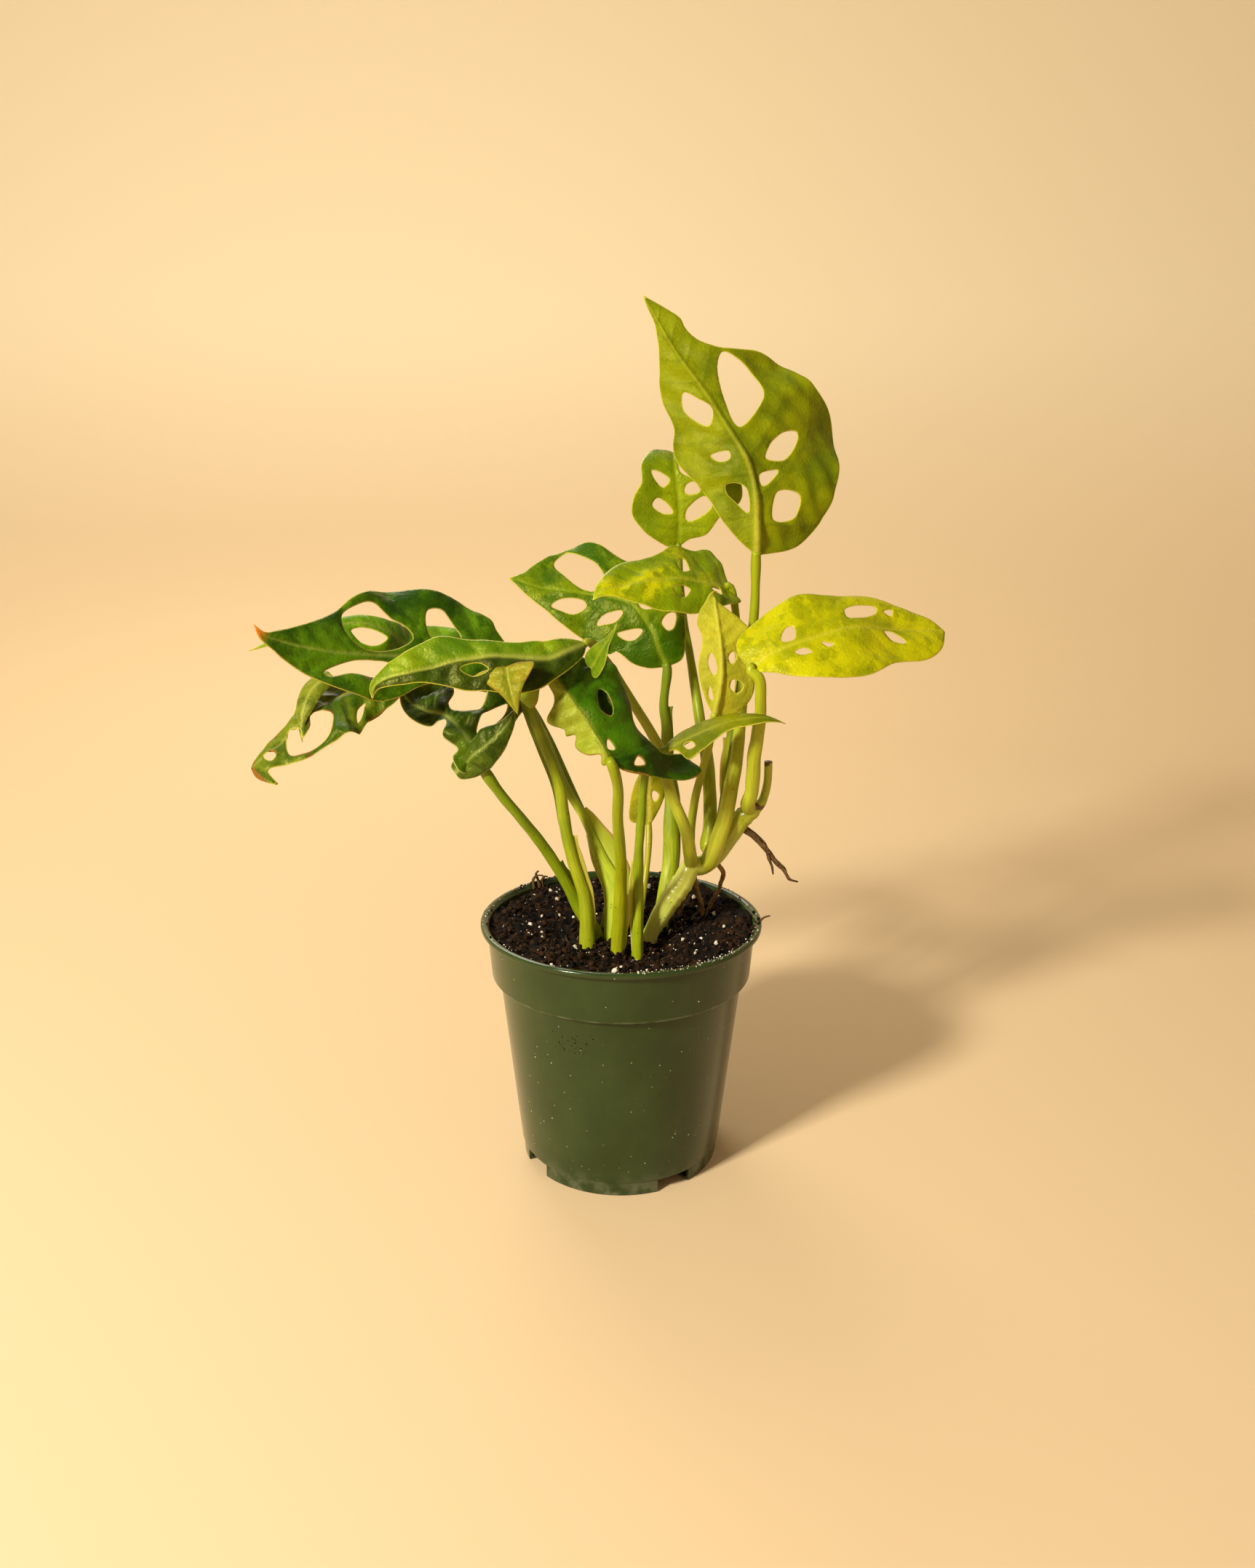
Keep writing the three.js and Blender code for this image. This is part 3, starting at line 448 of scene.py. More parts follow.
# %% Sheath and root finishes
def sheath_material(name, body, edge, share=0.5):
    """A papery wing, with its edge in another colour."""
    material, tree, shader = new_material(
        name, Subsurface_Weight=0.35, Subsurface_Radius=(1.0, 0.9, 0.4), Subsurface_Scale=0.0015,
        Specular_IOR_Level=0.35,
    )
    fibres = use_group(tree, fibre_group, Streaks=14.0, Length=0.05)
    streaks = maths(tree, "MULTIPLY", fibres["Mask"], 0.15)
    base = mixed(tree, streaks, colour(body), colour(edge))
    base = mixed(tree, ranged(tree, mark(tree, "edge"), 1.0 - share, 1.0), base, colour(edge))
    dress(tree, shader, base, ranged(tree, fibres["Mask"], 0, 1, 0.42, 0.58), fibres["Height"])
    return material


def root_material(name, body, furrow):
    """Dull ridged bark, with its furrows in a darker colour."""
    material, tree, shader = new_material(name, Specular_IOR_Level=0.3)
    fibres = use_group(tree, fibre_group, Streaks=5.0, Length=0.5)
    base = mixed(tree, fibres["Mask"], colour(body), colour(furrow))
    scabs = cloudy(tree, place_scaled(tree, 1, 1, 1), scale=900, detail=4)
    base = mixed(tree, ranged(tree, scabs, 0.5, 0.7), base, colour(furrow))
    dress(tree, shader, base, ranged(tree, scabs, 0.3, 0.7, 0.7, 0.95), fibres["Height"], depth=0.0006)
    return material


root_finish = root_material("root_bark", "785a2a", "34210f")
thin_root_finish = root_material("thin_root_bark", "b8924e", "6e4e24")
print("finishes:", root_finish.name, thin_root_finish.name)

# %% [markdown]
# ## A bent blade
# A leaf is drawn flat, as u along its midrib and v across it, and then bent: the midrib is
# a line in space, face says where the upper surface looks from base to tip, fold is how far
# each half lifts at the midrib, curl how much more it lifts 20 mm out, and wave is the
# height, length and phase of the rippled margin, where the two halves ripple out of step.
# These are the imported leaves' own numbers, so the fine blade lies where the plain one does.

# %% Where a point of the flat drawing lies
CURL_REACH = 20
RIB_EASE = 1.5
PLUS_LEAD = 1.7
LEAST_BEND = 1e-6


class Blade:
    """The bent surface of one leaf, in millimetres."""

    def __init__(self, rib, face, fold, curl, wave, **rest):
        self.line = smooth(rib, per=40)
        self.run = distances_along(self.line)
        self.length = self.run[-1]
        self.tangents = np.gradient(self.line, self.run, axis=0)
        self.face, self.fold, self.curl, self.wave = np.array(face, float), fold, curl, wave

    def along(self, values, u):
        """Evenly spaced vectors, or one for each point of the midrib, read at the distances u."""
        dense = len(values) == len(self.run)
        at = self.run if dense else np.linspace(0, self.length, len(values))
        return np.stack([np.interp(u, at, values[:, k]) for k in range(3)], axis=1)

    def at(self, u, v, rise):
        """Points in space for the flat points (u, v), each raised square to the blade."""
        held = np.clip(u, 0, self.length)
        tangent = self.along(self.tangents, held)
        tangent /= np.linalg.norm(tangent, axis=1)[:, None]
        up = self.along(self.face, held) if len(self.face) > 1 else np.tile(self.face, (len(u), 1))
        up = up - (up * tangent).sum(axis=1)[:, None] * tangent
        up /= np.linalg.norm(up, axis=1)[:, None]
        across = np.cross(tangent, up)
        plus = v >= 0
        side = np.where(plus, 1.0, -1.0)
        out = np.abs(v)
        start = np.radians(np.where(plus, *self.fold))
        bend = np.radians(np.where(plus, *self.curl)) / CURL_REACH
        bend = np.where(np.abs(bend) < LEAST_BEND, LEAST_BEND, bend)
        end = start + bend * out
        height, spacing, phase = self.wave
        turn = 2 * math.pi * u / spacing + phase + np.where(plus, PLUS_LEAD, 0)
        ripple = height * (out / CURL_REACH) ** 2 * np.sin(turn)
        lean = end * np.clip(out / RIB_EASE, 0, 1)
        sideways = side * ((np.sin(end) - np.sin(start)) / bend - rise * np.sin(lean))
        upward = (np.cos(start) - np.cos(end)) / bend + ripple + rise * np.cos(lean)
        middle = self.along(self.line, held) + tangent * (u - held)[:, None]
        return middle + across * sideways[:, None] + up * upward[:, None]


cupped = Blade([[0, 0, 0], [0, 0, 40]], [[0, -1, 0]], [20, 20], [30, 30], [0, 20, 0])
lifted = cupped.at(np.array([20.0]), np.array([15.0]), np.array([0.0]))[0]
print("15 mm from the midrib of a cupped blade, it is lifted", round(float(-lifted[1]), 1), "mm")

# %% [markdown]
# ## Side veins
# In this plant each hole opens between two side veins, so a vein always runs along the
# bridge between two holes. Rather than placing them by hand, the script tries many starts
# and slants along the midrib, and keeps those that stay furthest from the holes and from
# each other. A first round takes only veins that clear every hole, and a second one fills
# what room is left.

# %% Lead the side veins between the holes
VEIN_STEP = 1.2
VEIN_REACH = 46
VEIN_STARTS = (2, 0.94, 0.9)
VEIN_PLACES, VEIN_LEANS = [0, 0.12, 0.5, 1], [104, 84, 60, 34]
VEIN_SWINGS = (-14, -7, 0, 7, 14)
VEIN_CURVE = 0.75
VEIN_SPACING, SPACING_SHARE = 4.2, 0.085
CLEAR_ENOUGH, SWING_COST = 2.5, 0.012
SECOND_ROUND_ROOM = 1.5
CLOSEST = 0.45
LEAST_CLEAR = 0.5
LEAST_STOPS = 4
FAR_AWAY = -99


def nearest(points, line):
    """How far each point is from a line of points, and how far along the line, from 0 to 1."""
    start, span = line[:-1], np.diff(line, axis=0)
    off = points[:, None] - start[None]
    share = np.clip((off * span).sum(-1) / ((span**2).sum(-1) + 1e-12), 0, 1)
    gaps = np.linalg.norm(off - share[..., None] * span, axis=-1)
    best = gaps.argmin(axis=1)
    row = np.arange(len(points))
    return gaps[row, best], (best + share[row, best]) / len(span)


def within(points, loop):
    """Which points lie inside a closed loop."""
    a, b = loop, np.roll(loop, 1, axis=0)
    x, y = points[:, :1], points[:, 1:]
    crosses = (a[:, 1] > y) != (b[:, 1] > y)
    rise = np.where(np.abs(b[:, 1] - a[:, 1]) < 1e-9, 1e-9, b[:, 1] - a[:, 1])
    return (crosses & (x < a[:, 0] + (b[:, 0] - a[:, 0]) * (y - a[:, 1]) / rise)).sum(axis=1) % 2 == 1


def well_apart(line, other, room):
    """Whether two veins start far enough apart, and stay apart beyond their starts."""
    starts = abs(line[0, 0] - other[0, 0])
    return starts > room and nearest(line[2:], other[2:])[0].min() > CLOSEST * room


def side_veins(length, outline, holes):
    """Curved side veins for both halves of a leaf, each from the midrib to the margin."""
    spacing = max(VEIN_SPACING, SPACING_SHARE * length)
    reach = np.arange(0, VEIN_REACH, VEIN_STEP)
    rims = np.vstack([*holes, [[FAR_AWAY, FAR_AWAY]]])
    first, last_share, between = VEIN_STARTS
    tries = []
    for side in (1, -1):
        for start in np.arange(first, length * last_share, between):
            lean = np.interp(start / length, VEIN_PLACES, VEIN_LEANS)
            for swing in VEIN_SWINGS:
                slant = np.radians(lean + swing - VEIN_CURVE * reach)
                u = start + np.cumsum(np.cos(slant)) * VEIN_STEP
                line = np.stack([u, side * np.cumsum(np.sin(slant)) * VEIN_STEP], axis=1)
                inside = within(line, outline)
                stop = len(line) if inside.all() else max(int(inside.argmin()), 1)
                if stop < LEAST_STOPS:
                    continue
                line = np.vstack([[[start, 0]], line[: stop + 1]])
                far = line[LEAST_STOPS - 1 :]
                clear = np.linalg.norm(far[:, None] - rims[None], axis=-1).min()
                tries.append((min(clear, CLEAR_ENOUGH) - SWING_COST * abs(swing), side, line))
    tries.sort(key=lambda each: -each[0])
    kept = []
    for least, room in ((LEAST_CLEAR, spacing), (FAR_AWAY, SECOND_ROUND_ROOM * spacing)):
        for score, side, line in tries:
            rivals = [other for half, other in kept if half == side]
            if score > least and all(well_apart(line, other, room) for other in rivals):
                kept.append((side, line))
    return [line for side, line in kept]


print("side veins in the rounded square:", len(side_veins(9, square - [0, 4.5], [])))

# %% [markdown]
# ## A fine leaf
# The flat outline and its holes are filled with small triangles, and the sheet is then bent
# with real relief: tissue puffed up between the veins, grooves along them above and ridges
# below, a thick midrib that carries on from the petiole, and a margin that thins out. The
# two faces share their triangles, and a narrow wall closes them along every edge.

# %% Fill a leaf's outline
FINE_STEP = 0.72
ROW_SHARE = 0.87
RIM_ROOM = 0.42
MIDRIB_ROWS = (-1.3, -0.85, -0.4, 0.0, 0.4, 0.85, 1.3)
MIDRIB_BAND, MIDRIB_STEP = 1.7, 0.8
SCATTER = 0.04


def flat_sheet(outline, holes, length):
    """Even triangles that fill the outline around the holes, and the flat points they join."""
    loops = [outline, *holes]
    points, edges = [], []
    for loop in loops:
        first = len(points)
        points += loop.tolist()
        edges += [(first + i, first + (i + 1) % len(loop)) for i in range(len(loop))]
    low, high = outline.min(axis=0), outline.max(axis=0)
    rows = np.arange(low[1], high[1], FINE_STEP * ROW_SHARE)
    grid = [
        (u + FINE_STEP / 2 * (i % 2), v)
        for i, v in enumerate(rows) if abs(v) > MIDRIB_BAND
        for u in np.arange(low[0], high[0], FINE_STEP)
    ]
    grid += [(u, v) for v in MIDRIB_ROWS for u in np.arange(MIDRIB_STEP / 2, length, MIDRIB_STEP)]
    grid = np.array(grid)
    chance = np.random.default_rng(5)
    grid += chance.uniform(-SCATTER, SCATTER, grid.shape) * (np.abs(grid[:, 1:]) > 0.01)
    keep = within(grid, outline)
    for loop in loops:
        ring = np.vstack([loop, loop[:1]])
        if loop is not outline:
            keep &= ~within(grid, loop)
        close = keep.nonzero()[0]
        keep[close[nearest(grid[close], ring)[0] < RIM_ROOM * FINE_STEP]] = False
    points += grid[keep].tolist()
    out = geometry.delaunay_2d_cdt([Vector(p) for p in points], edges, [], 0, 1e-5)
    flat = np.array([(p.x, p.y) for p in out[0]])
    faces = np.array([f for f in out[2] if len(f) == 3])
    centres = flat[faces].mean(axis=1)
    inside = within(centres, outline)
    for hole in holes:
        inside &= ~within(centres, hole)
    return flat, faces[inside]


def open_edges(faces):
    """The edges that only one triangle uses, each in its triangle's direction."""
    pairs = np.vstack([faces[:, [0, 1]], faces[:, [1, 2]], faces[:, [2, 0]]])
    known = set(map(tuple, pairs.tolist()))
    return [(a, b) for a, b in known if (b, a) not in known]


print("the rounded square holds", len(flat_sheet(square, [], 9)[1]), "triangles")

# %% [markdown]
# ## Relief and marks of a leaf
# A vein is a groove on the face of a leaf and a ridge under it, the tissue between veins is
# puffed up, and towards every edge the blade thins. So each point of the flat drawing is
# measured against the veins and the edges. The measures shape the relief, and are also kept
# as marks, which tell the finish where a vein, an edge or a dry patch lies.

# %% Measure the points of a leaf
VEIN_WIDTH, VEIN_TAPER, VEIN_FADE = 0.42, 0.24, 0.45
DRY_SIZE, DRY_SHARE = 7, 1.6
PAINTED_HALF_BLUR = 0.6


def edge_distance(flat, loops):
    """How far each flat point is from the nearest edge of the leaf."""
    return np.min([nearest(flat, np.vstack([loop, loop[:1]]))[0] for loop in loops], axis=0)


def vein_strength(flat, veins):
    """How strongly each flat point lies on a side vein, and how far it is from the nearest."""
    strength, to_vein = np.zeros(len(flat)), np.full(len(flat), np.inf)
    for line in veins:
        gap, along = nearest(flat, line)
        reach = VEIN_WIDTH - VEIN_TAPER * along
        strength = np.maximum(strength, np.exp(-((gap / reach) ** 2)) * (1 - VEIN_FADE * along))
        to_vein = np.minimum(to_vein, gap)
    return strength, to_vein


def dryness(flat, length, margin, dry_tip, dry_rim, seed):
    """How dry each flat point is: towards the tip, and in patches along the rim."""
    dry = np.zeros(len(flat))
    if dry_tip:
        dry = np.clip((flat[:, 0] - (length - dry_tip)) / dry_tip, 0, 1)
    if dry_rim:
        patches = np.clip(wobble(flat, DRY_SIZE, seed) * DRY_SHARE, 0, 1)
        dry = np.maximum(dry, patches * np.exp(-margin / dry_rim))
    return dry


def painted_half_shading(v, ahead, side, at_base, at_tip):
    """How much each point takes the painted shading of the leaf's other half, shade or light for that side.
    """
    return np.clip(side * v / PAINTED_HALF_BLUR, 0, 1) * (at_base + (at_tip - at_base) * ahead)


middle = edge_distance(np.array([[4.5, 4.5]]), [square])[0]
print("the middle of the rounded square is", round(float(middle), 1), "mm from its edge")

# %% [markdown]
# ## The whole blade
# The relief is a height above and below the middle of the blade at each flat point. A sway
# bends the whole blade softly, quilting puffs it up between its veins, and near an edge
# both fade. The midrib is the thickest ridge, and carries on from the petiole. half says
# which side of a leaf takes a painted shading, a colour that paints shade or light on that
# side, and how much of it at the base and at the tip.

# %% Make a leaf
BLADE_THICKNESS = 0.5
THIN_REACH, THIN_POWER, THIN_LEAST = 0.7, 0.6, 0.3
LEAF_EDGE_STEP, HOLE_EDGE_STEP = 0.75, 0.6
VEIN_GROOVE, VEIN_RIDGE = 0.16, 0.26
RIB_GROOVE, RIB_CREST, RIB_CREST_WIDTH, RIB_DEPTH, RIB_TIP = 0.3, 0.14, 0.3, 0.95, 0.22
RIB_PAST_END, RIB_TAPER, RIB_MARK_SHARE, RIB_MARK_LEAST = 0.2, 0.8, 0.6, 0.12
PUFF_REACH, FADE_REACH, FADE_LEAST = 2.3, 2.5, 0.15
SWAY_SIZE, CRINKLE_SIZE, QUILT_SIZE = 9, 4, 6
CRINKLE_SHARE, QUILT_CHANGE = 0.2, 0.3


def make_leaf(
    name, spec, finish, slot, crumple=0.25, quilt=0.7, dry_tip=0.0, dry_rim=0.0, foot=1.3, rib_fade=0.0,
    half=(1, 0.0, 0.0), seed=1,
):
    """Builds one leaf from its table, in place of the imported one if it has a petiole."""
    blade = Blade(**spec)
    tip = [blade.length, 0]
    upper = evenly(smooth([[0, 0], *spec["plus"], tip]), LEAF_EDGE_STEP)
    lower = evenly(smooth([tip, *spec["minus"][::-1], [0, 0]]), LEAF_EDGE_STEP)
    outline = np.vstack([upper[:-1], lower[:-1]])
    holes = [evenly(smooth(hole, True), HOLE_EDGE_STEP, True) for hole in spec.get("holes", [])]
    flat, faces = flat_sheet(outline, holes, blade.length)
    spans = flat[faces]
    turned = np.cross(spans[:, 1] - spans[:, 0], spans[:, 2] - spans[:, 0]) < 0
    faces[turned] = faces[turned][:, ::-1]
    u, v = flat[:, 0], flat[:, 1]

    margin = edge_distance(flat, [outline, *holes])
    veins = side_veins(blade.length, outline, holes)
    vein_mark, to_vein = vein_strength(flat, veins)
    ahead = np.clip(u / blade.length, 0, 1)
    wide = foot * (1 - ahead) ** RIB_TAPER + RIB_TIP
    on_rib = (u > -RIB_PAST_END) & (u < blade.length + RIB_PAST_END)
    rib_mark = np.exp(-((v / (RIB_MARK_SHARE * wide + RIB_MARK_LEAST)) ** 2)) * on_rib
    ridge = np.sqrt(np.clip(1 - (v / wide) ** 2, 0, 1)) * wide * RIB_DEPTH * on_rib
    crest = RIB_CREST * (np.abs(v) < RIB_CREST_WIDTH) * on_rib
    puff = 1 - np.exp(-((np.minimum(to_vein, np.abs(v)) / PUFF_REACH) ** 2))
    fade = np.clip(margin / FADE_REACH, FADE_LEAST, 1)

    sway = crumple * wobble(flat, SWAY_SIZE, seed)
    sway = sway + CRINKLE_SHARE * crumple * wobble(flat, CRINKLE_SIZE, seed + 1)
    sway += quilt * puff * fade * (1 + QUILT_CHANGE * wobble(flat, QUILT_SIZE, seed + 2))
    thick = BLADE_THICKNESS * np.clip((margin / THIN_REACH) ** THIN_POWER, THIN_LEAST, 1) / 2
    top = sway + thick - VEIN_GROOVE * vein_mark - RIB_GROOVE * rib_mark + crest
    bottom = sway - thick - VEIN_RIDGE * vein_mark * fade - ridge
    points = np.vstack([blade.at(u, v, top), blade.at(u, v, bottom)])

    n = len(flat)
    walls = [[a, b, b + n, a + n] for a, b in open_edges(faces)]
    shell = faces[:, ::-1].tolist() + (faces + n).tolist() + walls
    marks = {
        "vein": np.tile(vein_mark, 2), "edge": np.tile(margin, 2),
        "rib": np.tile(rib_mark * (1 - rib_fade * np.clip(2 * ahead, 0, 1)), 2),
        "dry": np.tile(dryness(flat, blade.length, margin, dry_tip, dry_rim, seed + 3), 2),
        "half": np.tile(painted_half_shading(v, ahead, *half), 2), "under": np.repeat([0.0, 1.0], n),
    }
    stands_for = [name + "_leaf"] if "petiole" in spec else ()
    make_piece(name + "_blade", points, shell, finish, stands_for, marks)
    print(name, "leaf:", round(blade.length), "mm long,", len(veins), "side veins,", len(shell), "faces")


print("a blade is", BLADE_THICKNESS, "mm thick and its edge", round(BLADE_THICKNESS * THIN_LEAST, 2), "mm")

# %% [markdown]
# ## Stalks and roots
# Petioles, the vine and the roots are tubes of oval section along a line. Each ring of
# points stands square to the line, and its width and depth change along it through a few
# stops. Fine ridges run along the surface, and the ring carries marks for the finish.

# %% Make a stalk
EASE_WIDTH = 9
NECK_PLACE, NECK_LENGTH = 5, 4
RING_LENGTH = 0.7
GROOVE_WIDTH = 0.45
SKIN_RADIUS = 3
SCAR_CHANGE, SCAR_SIZE = 0.8, 2.5


def stalk_frame(line):
    """At each point of a line: its direction, and the two directions across it."""
    along = np.gradient(line, distances_along(line), axis=0)
    along /= np.linalg.norm(along, axis=1)[:, None]
    deep = np.array([0, 1, 0]) - along[:, 1:2] * along
    deep /= np.linalg.norm(deep, axis=1)[:, None]
    return along, np.cross(deep, along), deep


def stalk_sizes(section, share):
    """Half width and half depth at each share of the length, with the stops' corners eased."""
    stops = np.array(section, float)
    sizes = [np.interp(share, stops[:, 0], stops[:, k]) for k in (1, 2)]
    kernel = np.hanning(EASE_WIDTH) / np.hanning(EASE_WIDTH).sum()
    return [np.convolve(np.pad(size, EASE_WIDTH // 2, mode="edge"), kernel, mode="valid") for size in sizes]


def make_stalk(
    name, path, section, finish, stands_for, step=1.2, sides=20, ridges=9, ridge=0.03,
    lumps=0.05, lump_size=6, neck=0.0, groove=0.0, groove_turn=0.0, rings=(), scars=(), seed=1,
):
    """A tapering stalk. neck swells it under its leaf, and rings and scars mark its nodes.

    rings are (share of the length, height), and scars are (share of the length, length in mm).
    """
    line = evenly(smooth(path), step)
    run = distances_along(line)
    share = run / run[-1]
    along, across, deep = stalk_frame(line)
    wide, thick = stalk_sizes(section, share)
    turn = np.arange(sides) / sides * 2 * math.pi
    swell = 1 + neck * np.exp(-(((run - run[-1] + NECK_PLACE) / NECK_LENGTH) ** 2))
    scar = np.zeros(len(line))
    for place, height in rings:
        swell += height * np.exp(-(((share - place) * run[-1] / RING_LENGTH) ** 2))
    for place, length in scars:
        scar = np.maximum(scar, np.exp(-(((share - place) * run[-1] / length) ** 2)))
    cross = np.abs((turn - groove_turn + math.pi) % (2 * math.pi) - math.pi)
    dent = groove * np.exp(-((cross / GROOVE_WIDTH) ** 2))
    radius = swell[:, None] * (1 - dent[None]) + ridge * np.sin(ridges * turn)[None]
    spot = line[:, None] + across[:, None] * np.cos(turn)[None, :, None] * SKIN_RADIUS
    spot = (spot + deep[:, None] * np.sin(turn)[None, :, None] * SKIN_RADIUS).reshape(-1, 3)
    radius += lumps * wobble(spot, lump_size, seed).reshape(radius.shape)
    points = (
        line[:, None]
        + across[:, None] * (radius * np.cos(turn) * wide[:, None])[..., None]
        + deep[:, None] * (radius * np.sin(turn) * thick[:, None])[..., None]
    ).reshape(-1, 3)
    faces = wrapped(len(line), sides)
    faces.append(list(range(sides))[::-1])
    faces.append([(len(line) - 1) * sides + k for k in range(sides)])
    patchy = scar[:, None] * (1 + SCAR_CHANGE * wobble(spot, SCAR_SIZE, seed + 7).reshape(radius.shape))
    marks = {
        "along": np.repeat(share, sides), "run": np.repeat(run, sides),
        "turn": np.tile(turn / (2 * math.pi), len(line)), "scar": patchy.ravel(),
    }
    make_piece(name, points, faces, finish, stands_for, marks)


half_widths = stalk_sizes([[0, 3, 2], [1, 1, 1]], np.linspace(0, 1, 21))[0]
print("a stalk from 3 to 1 mm has", round(float(half_widths[10]), 2), "mm in its middle")

# %% [markdown]
# ## Sheaths
# A sheath is a thin wing that stands off the side of a stalk, highest in its middle, and
# ends in a free tip. It is a strip with its inner edge sunk in the stalk, a curved section,
# and real thickness.

# %% Make a sheath
SHEATH_THICKNESS = 0.35
SHEATH_STEP = 0.9
SHEATH_COLUMNS = 6
SHEATH_CUP = 0.35
SHEATH_ROOT = 0.5
FULL_HEIGHT_AT = 1 / 1.15
RISE_POWER, TAPER_POWER = 0.8, 0.7
TAPER_SHARE, TAPER_LEAST = 0.22, 0.04
TIP_START = 0.85
EDGE_CHANGE, EDGE_SIZE = 0.08, 0.2


def make_sheath(name, path, section, finish, start, stop, turn, height, tip, seed):
    """A wing along part of a stalk, at a turn round it, with a free pointed tip."""
    whole = evenly(smooth(path), SHEATH_STEP)
    share = distances_along(whole) / distances_along(whole)[-1]
    used = (share >= start) & (share <= stop)
    along, across, deep = (each[used] for each in stalk_frame(whole))
    wide, thick = (each[used] for each in stalk_sizes(section, share))
    line = whole[used]
    s = np.linspace(0, 1, len(line))
    tall = height * np.sin(np.clip(s / FULL_HEIGHT_AT, 0, 1) * math.pi / 2) ** RISE_POWER
    tall = tall * np.clip((1 - s) / TAPER_SHARE, TAPER_LEAST, 1) ** TAPER_POWER
    tall *= 1 + EDGE_CHANGE * wobble(s[:, None], EDGE_SIZE, seed)
    lift = tip * np.clip((s - TIP_START) / (1 - TIP_START), 0, 1) ** 2
    angle = math.radians(turn)
    out = across * math.cos(angle) + deep * math.sin(angle)
    round_way = deep * math.cos(angle) - across * math.sin(angle)
    root = line + across * (math.cos(angle) * wide)[:, None] + deep * (math.sin(angle) * thick)[:, None]
    columns = np.linspace(0, 1, SHEATH_COLUMNS)
    rows = []
    for side in (0.5, -0.5):
        for c in columns:
            reach = (c * (tall + SHEATH_ROOT) - SHEATH_ROOT)[:, None]
            curve = (SHEATH_CUP * tall * c**2 + side * SHEATH_THICKNESS * (1 - 0.5 * c))[:, None]
            rows.append(root + out * (reach + lift[:, None] * c) + round_way * curve)
    grid = np.stack(rows, axis=1)
    ring = list(range(SHEATH_COLUMNS)) + list(range(2 * SHEATH_COLUMNS - 1, SHEATH_COLUMNS - 1, -1))
    points = grid[:, ring].reshape(-1, 3)
    m = len(ring)
    faces = wrapped(len(line), m, inward=True)
    faces.append(list(range(m)))
    faces.append([(len(line) - 1) * m + k for k in range(m)][::-1])
    edge = np.concatenate([columns, columns[::-1]])
    marks = {
        "run": np.repeat(distances_along(line), m), "turn": np.tile(edge * 0.3, len(line)),
        "edge": np.tile(edge, len(line)), "along": np.repeat(s, m),
    }
    make_piece(name, points, faces, finish, (), marks)


print("a sheath is a strip of", 2 * SHEATH_COLUMNS, "lines of points")

# %% [markdown]
# ## The leaves, one by one
# Each leaf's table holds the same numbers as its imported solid. plus and minus are the
# outline on either side of the midrib, from base to tip, and holes are the openings in it.
# petiole is the line of its stalk, and section the stalk's half width and half depth at
# shares of its length. The tallest leaf stands with its back to the camera, so its raised
# ribs show.

# %% Tables of the four highest leaves
LEAVES = {}
# the tallest leaf, seen from behind
LEAVES["crown"] = dict(
    rib=[
        [45, 4, 221], [45, 5, 233], [44, 7, 244], [41, 9, 253], [36, 12, 261], [28, 16, 273],
        [17, 21, 288], [6, 28, 306],
    ],
    face=[[0, 1, 0.1], [-0.15, 1, 0.2], [0, 1, 0.35]],
    fold=[14, 14],
    curl=[10, 14],
    wave=[1.5, 26, 0],
    plus=[[6, 7], [16, 14], [38, 20], [49, 21], [57, 16], [68, 14], [84, 3]],
    minus=[
        [3, -15], [11, -25], [19, -31], [28, -36], [42, -38], [50, -34], [57, -29], [62, -24],
        [69, -13], [75, -9], [82, -7], [86, -7],
    ],
    holes=[
        [[67, -13], [59, -17], [50, -18], [45, -11], [43.5, -3.5], [55, -4.5], [64, -8.5]],
        [[64, 6], [59, 3], [53.5, 1], [49.5, 5], [60, 9.5]],
        [[34.5, -21.5], [29, -13.5], [31, -7], [34, -10], [35.5, -16.5]],
        [[26.5, -3], [26.5, -10], [24, -6.5], [23, -3]],
        [[21, -9.5], [19.5, -16.5], [16, -16.5], [12, -13], [12, -6], [20, -7.5]],
        [[41, 10], [38.5, 4], [36, 5], [37, 8]],
        [[26.5, 9.5], [26, 6], [23, 3], [14.5, 3], [18.5, 7], [22.5, 9.5]],
    ],
    petiole=[
        [31, -3, 114], [33, -5, 120], [36, -5, 130], [38, -3, 141], [40, -1, 152], [41, 1, 162],
        [42, 3, 177], [44, 4, 190], [45, 4, 200],
    ],
    section=[[0, 3.1, 2.7], [0.3, 2.7, 2.3], [0.5, 2, 1.9], [1, 1.5, 1.5]],
)
# the small leaf behind it
LEAVES["back"] = dict(
    rib=[[20, 38, 221], [20, 37, 234], [19, 37, 244], [18, 40, 251], [18, 48, 254], [19, 60, 253]],
    face=[[0, -1, 0.1], [0, -1, 0.4], [0, -0.4, 1]],
    fold=[8, 8],
    curl=[0, -10],
    wave=[1, 22, 1],
    plus=[[3, 4], [5, 10], [11, 15], [15, 22], [18, 23], [22, 22], [27, 16], [46, 7]],
    minus=[[0, -3], [3, -9], [6, -13], [12, -17], [20, -16], [24, -13], [30, -12], [34, -10], [42, -6]],
    holes=[
        [[28, -8.5], [27.5, -6], [24.5, -2.5], [22, -5], [24.5, -7.5]],
        [[18.5, -7.5], [14.5, -3], [12.5, -2.5], [12.5, -6], [16, -9.5]],
        [[19.5, 2.5], [22, 3.5], [22.5, 6.5], [19.5, 8], [18.5, 4]],
        [[10.5, 2.5], [13.5, 3], [17.5, 9.5], [14.5, 12], [9.5, 3.5]],
        [[31.5, 2], [28, 4.5], [24, 6.5], [26.5, 2]],
    ],
    petiole=[
        [31, 5, 117], [32, 7, 123], [32, 14, 135], [31, 20, 147], [29, 25, 157], [27, 30, 169],
        [25, 33, 181], [22, 36, 197],
    ],
    section=[[0, 2.7, 2.1], [0.35, 2.4, 1.9], [0.55, 1.7, 1.6], [1, 1.2, 1.2]],
)
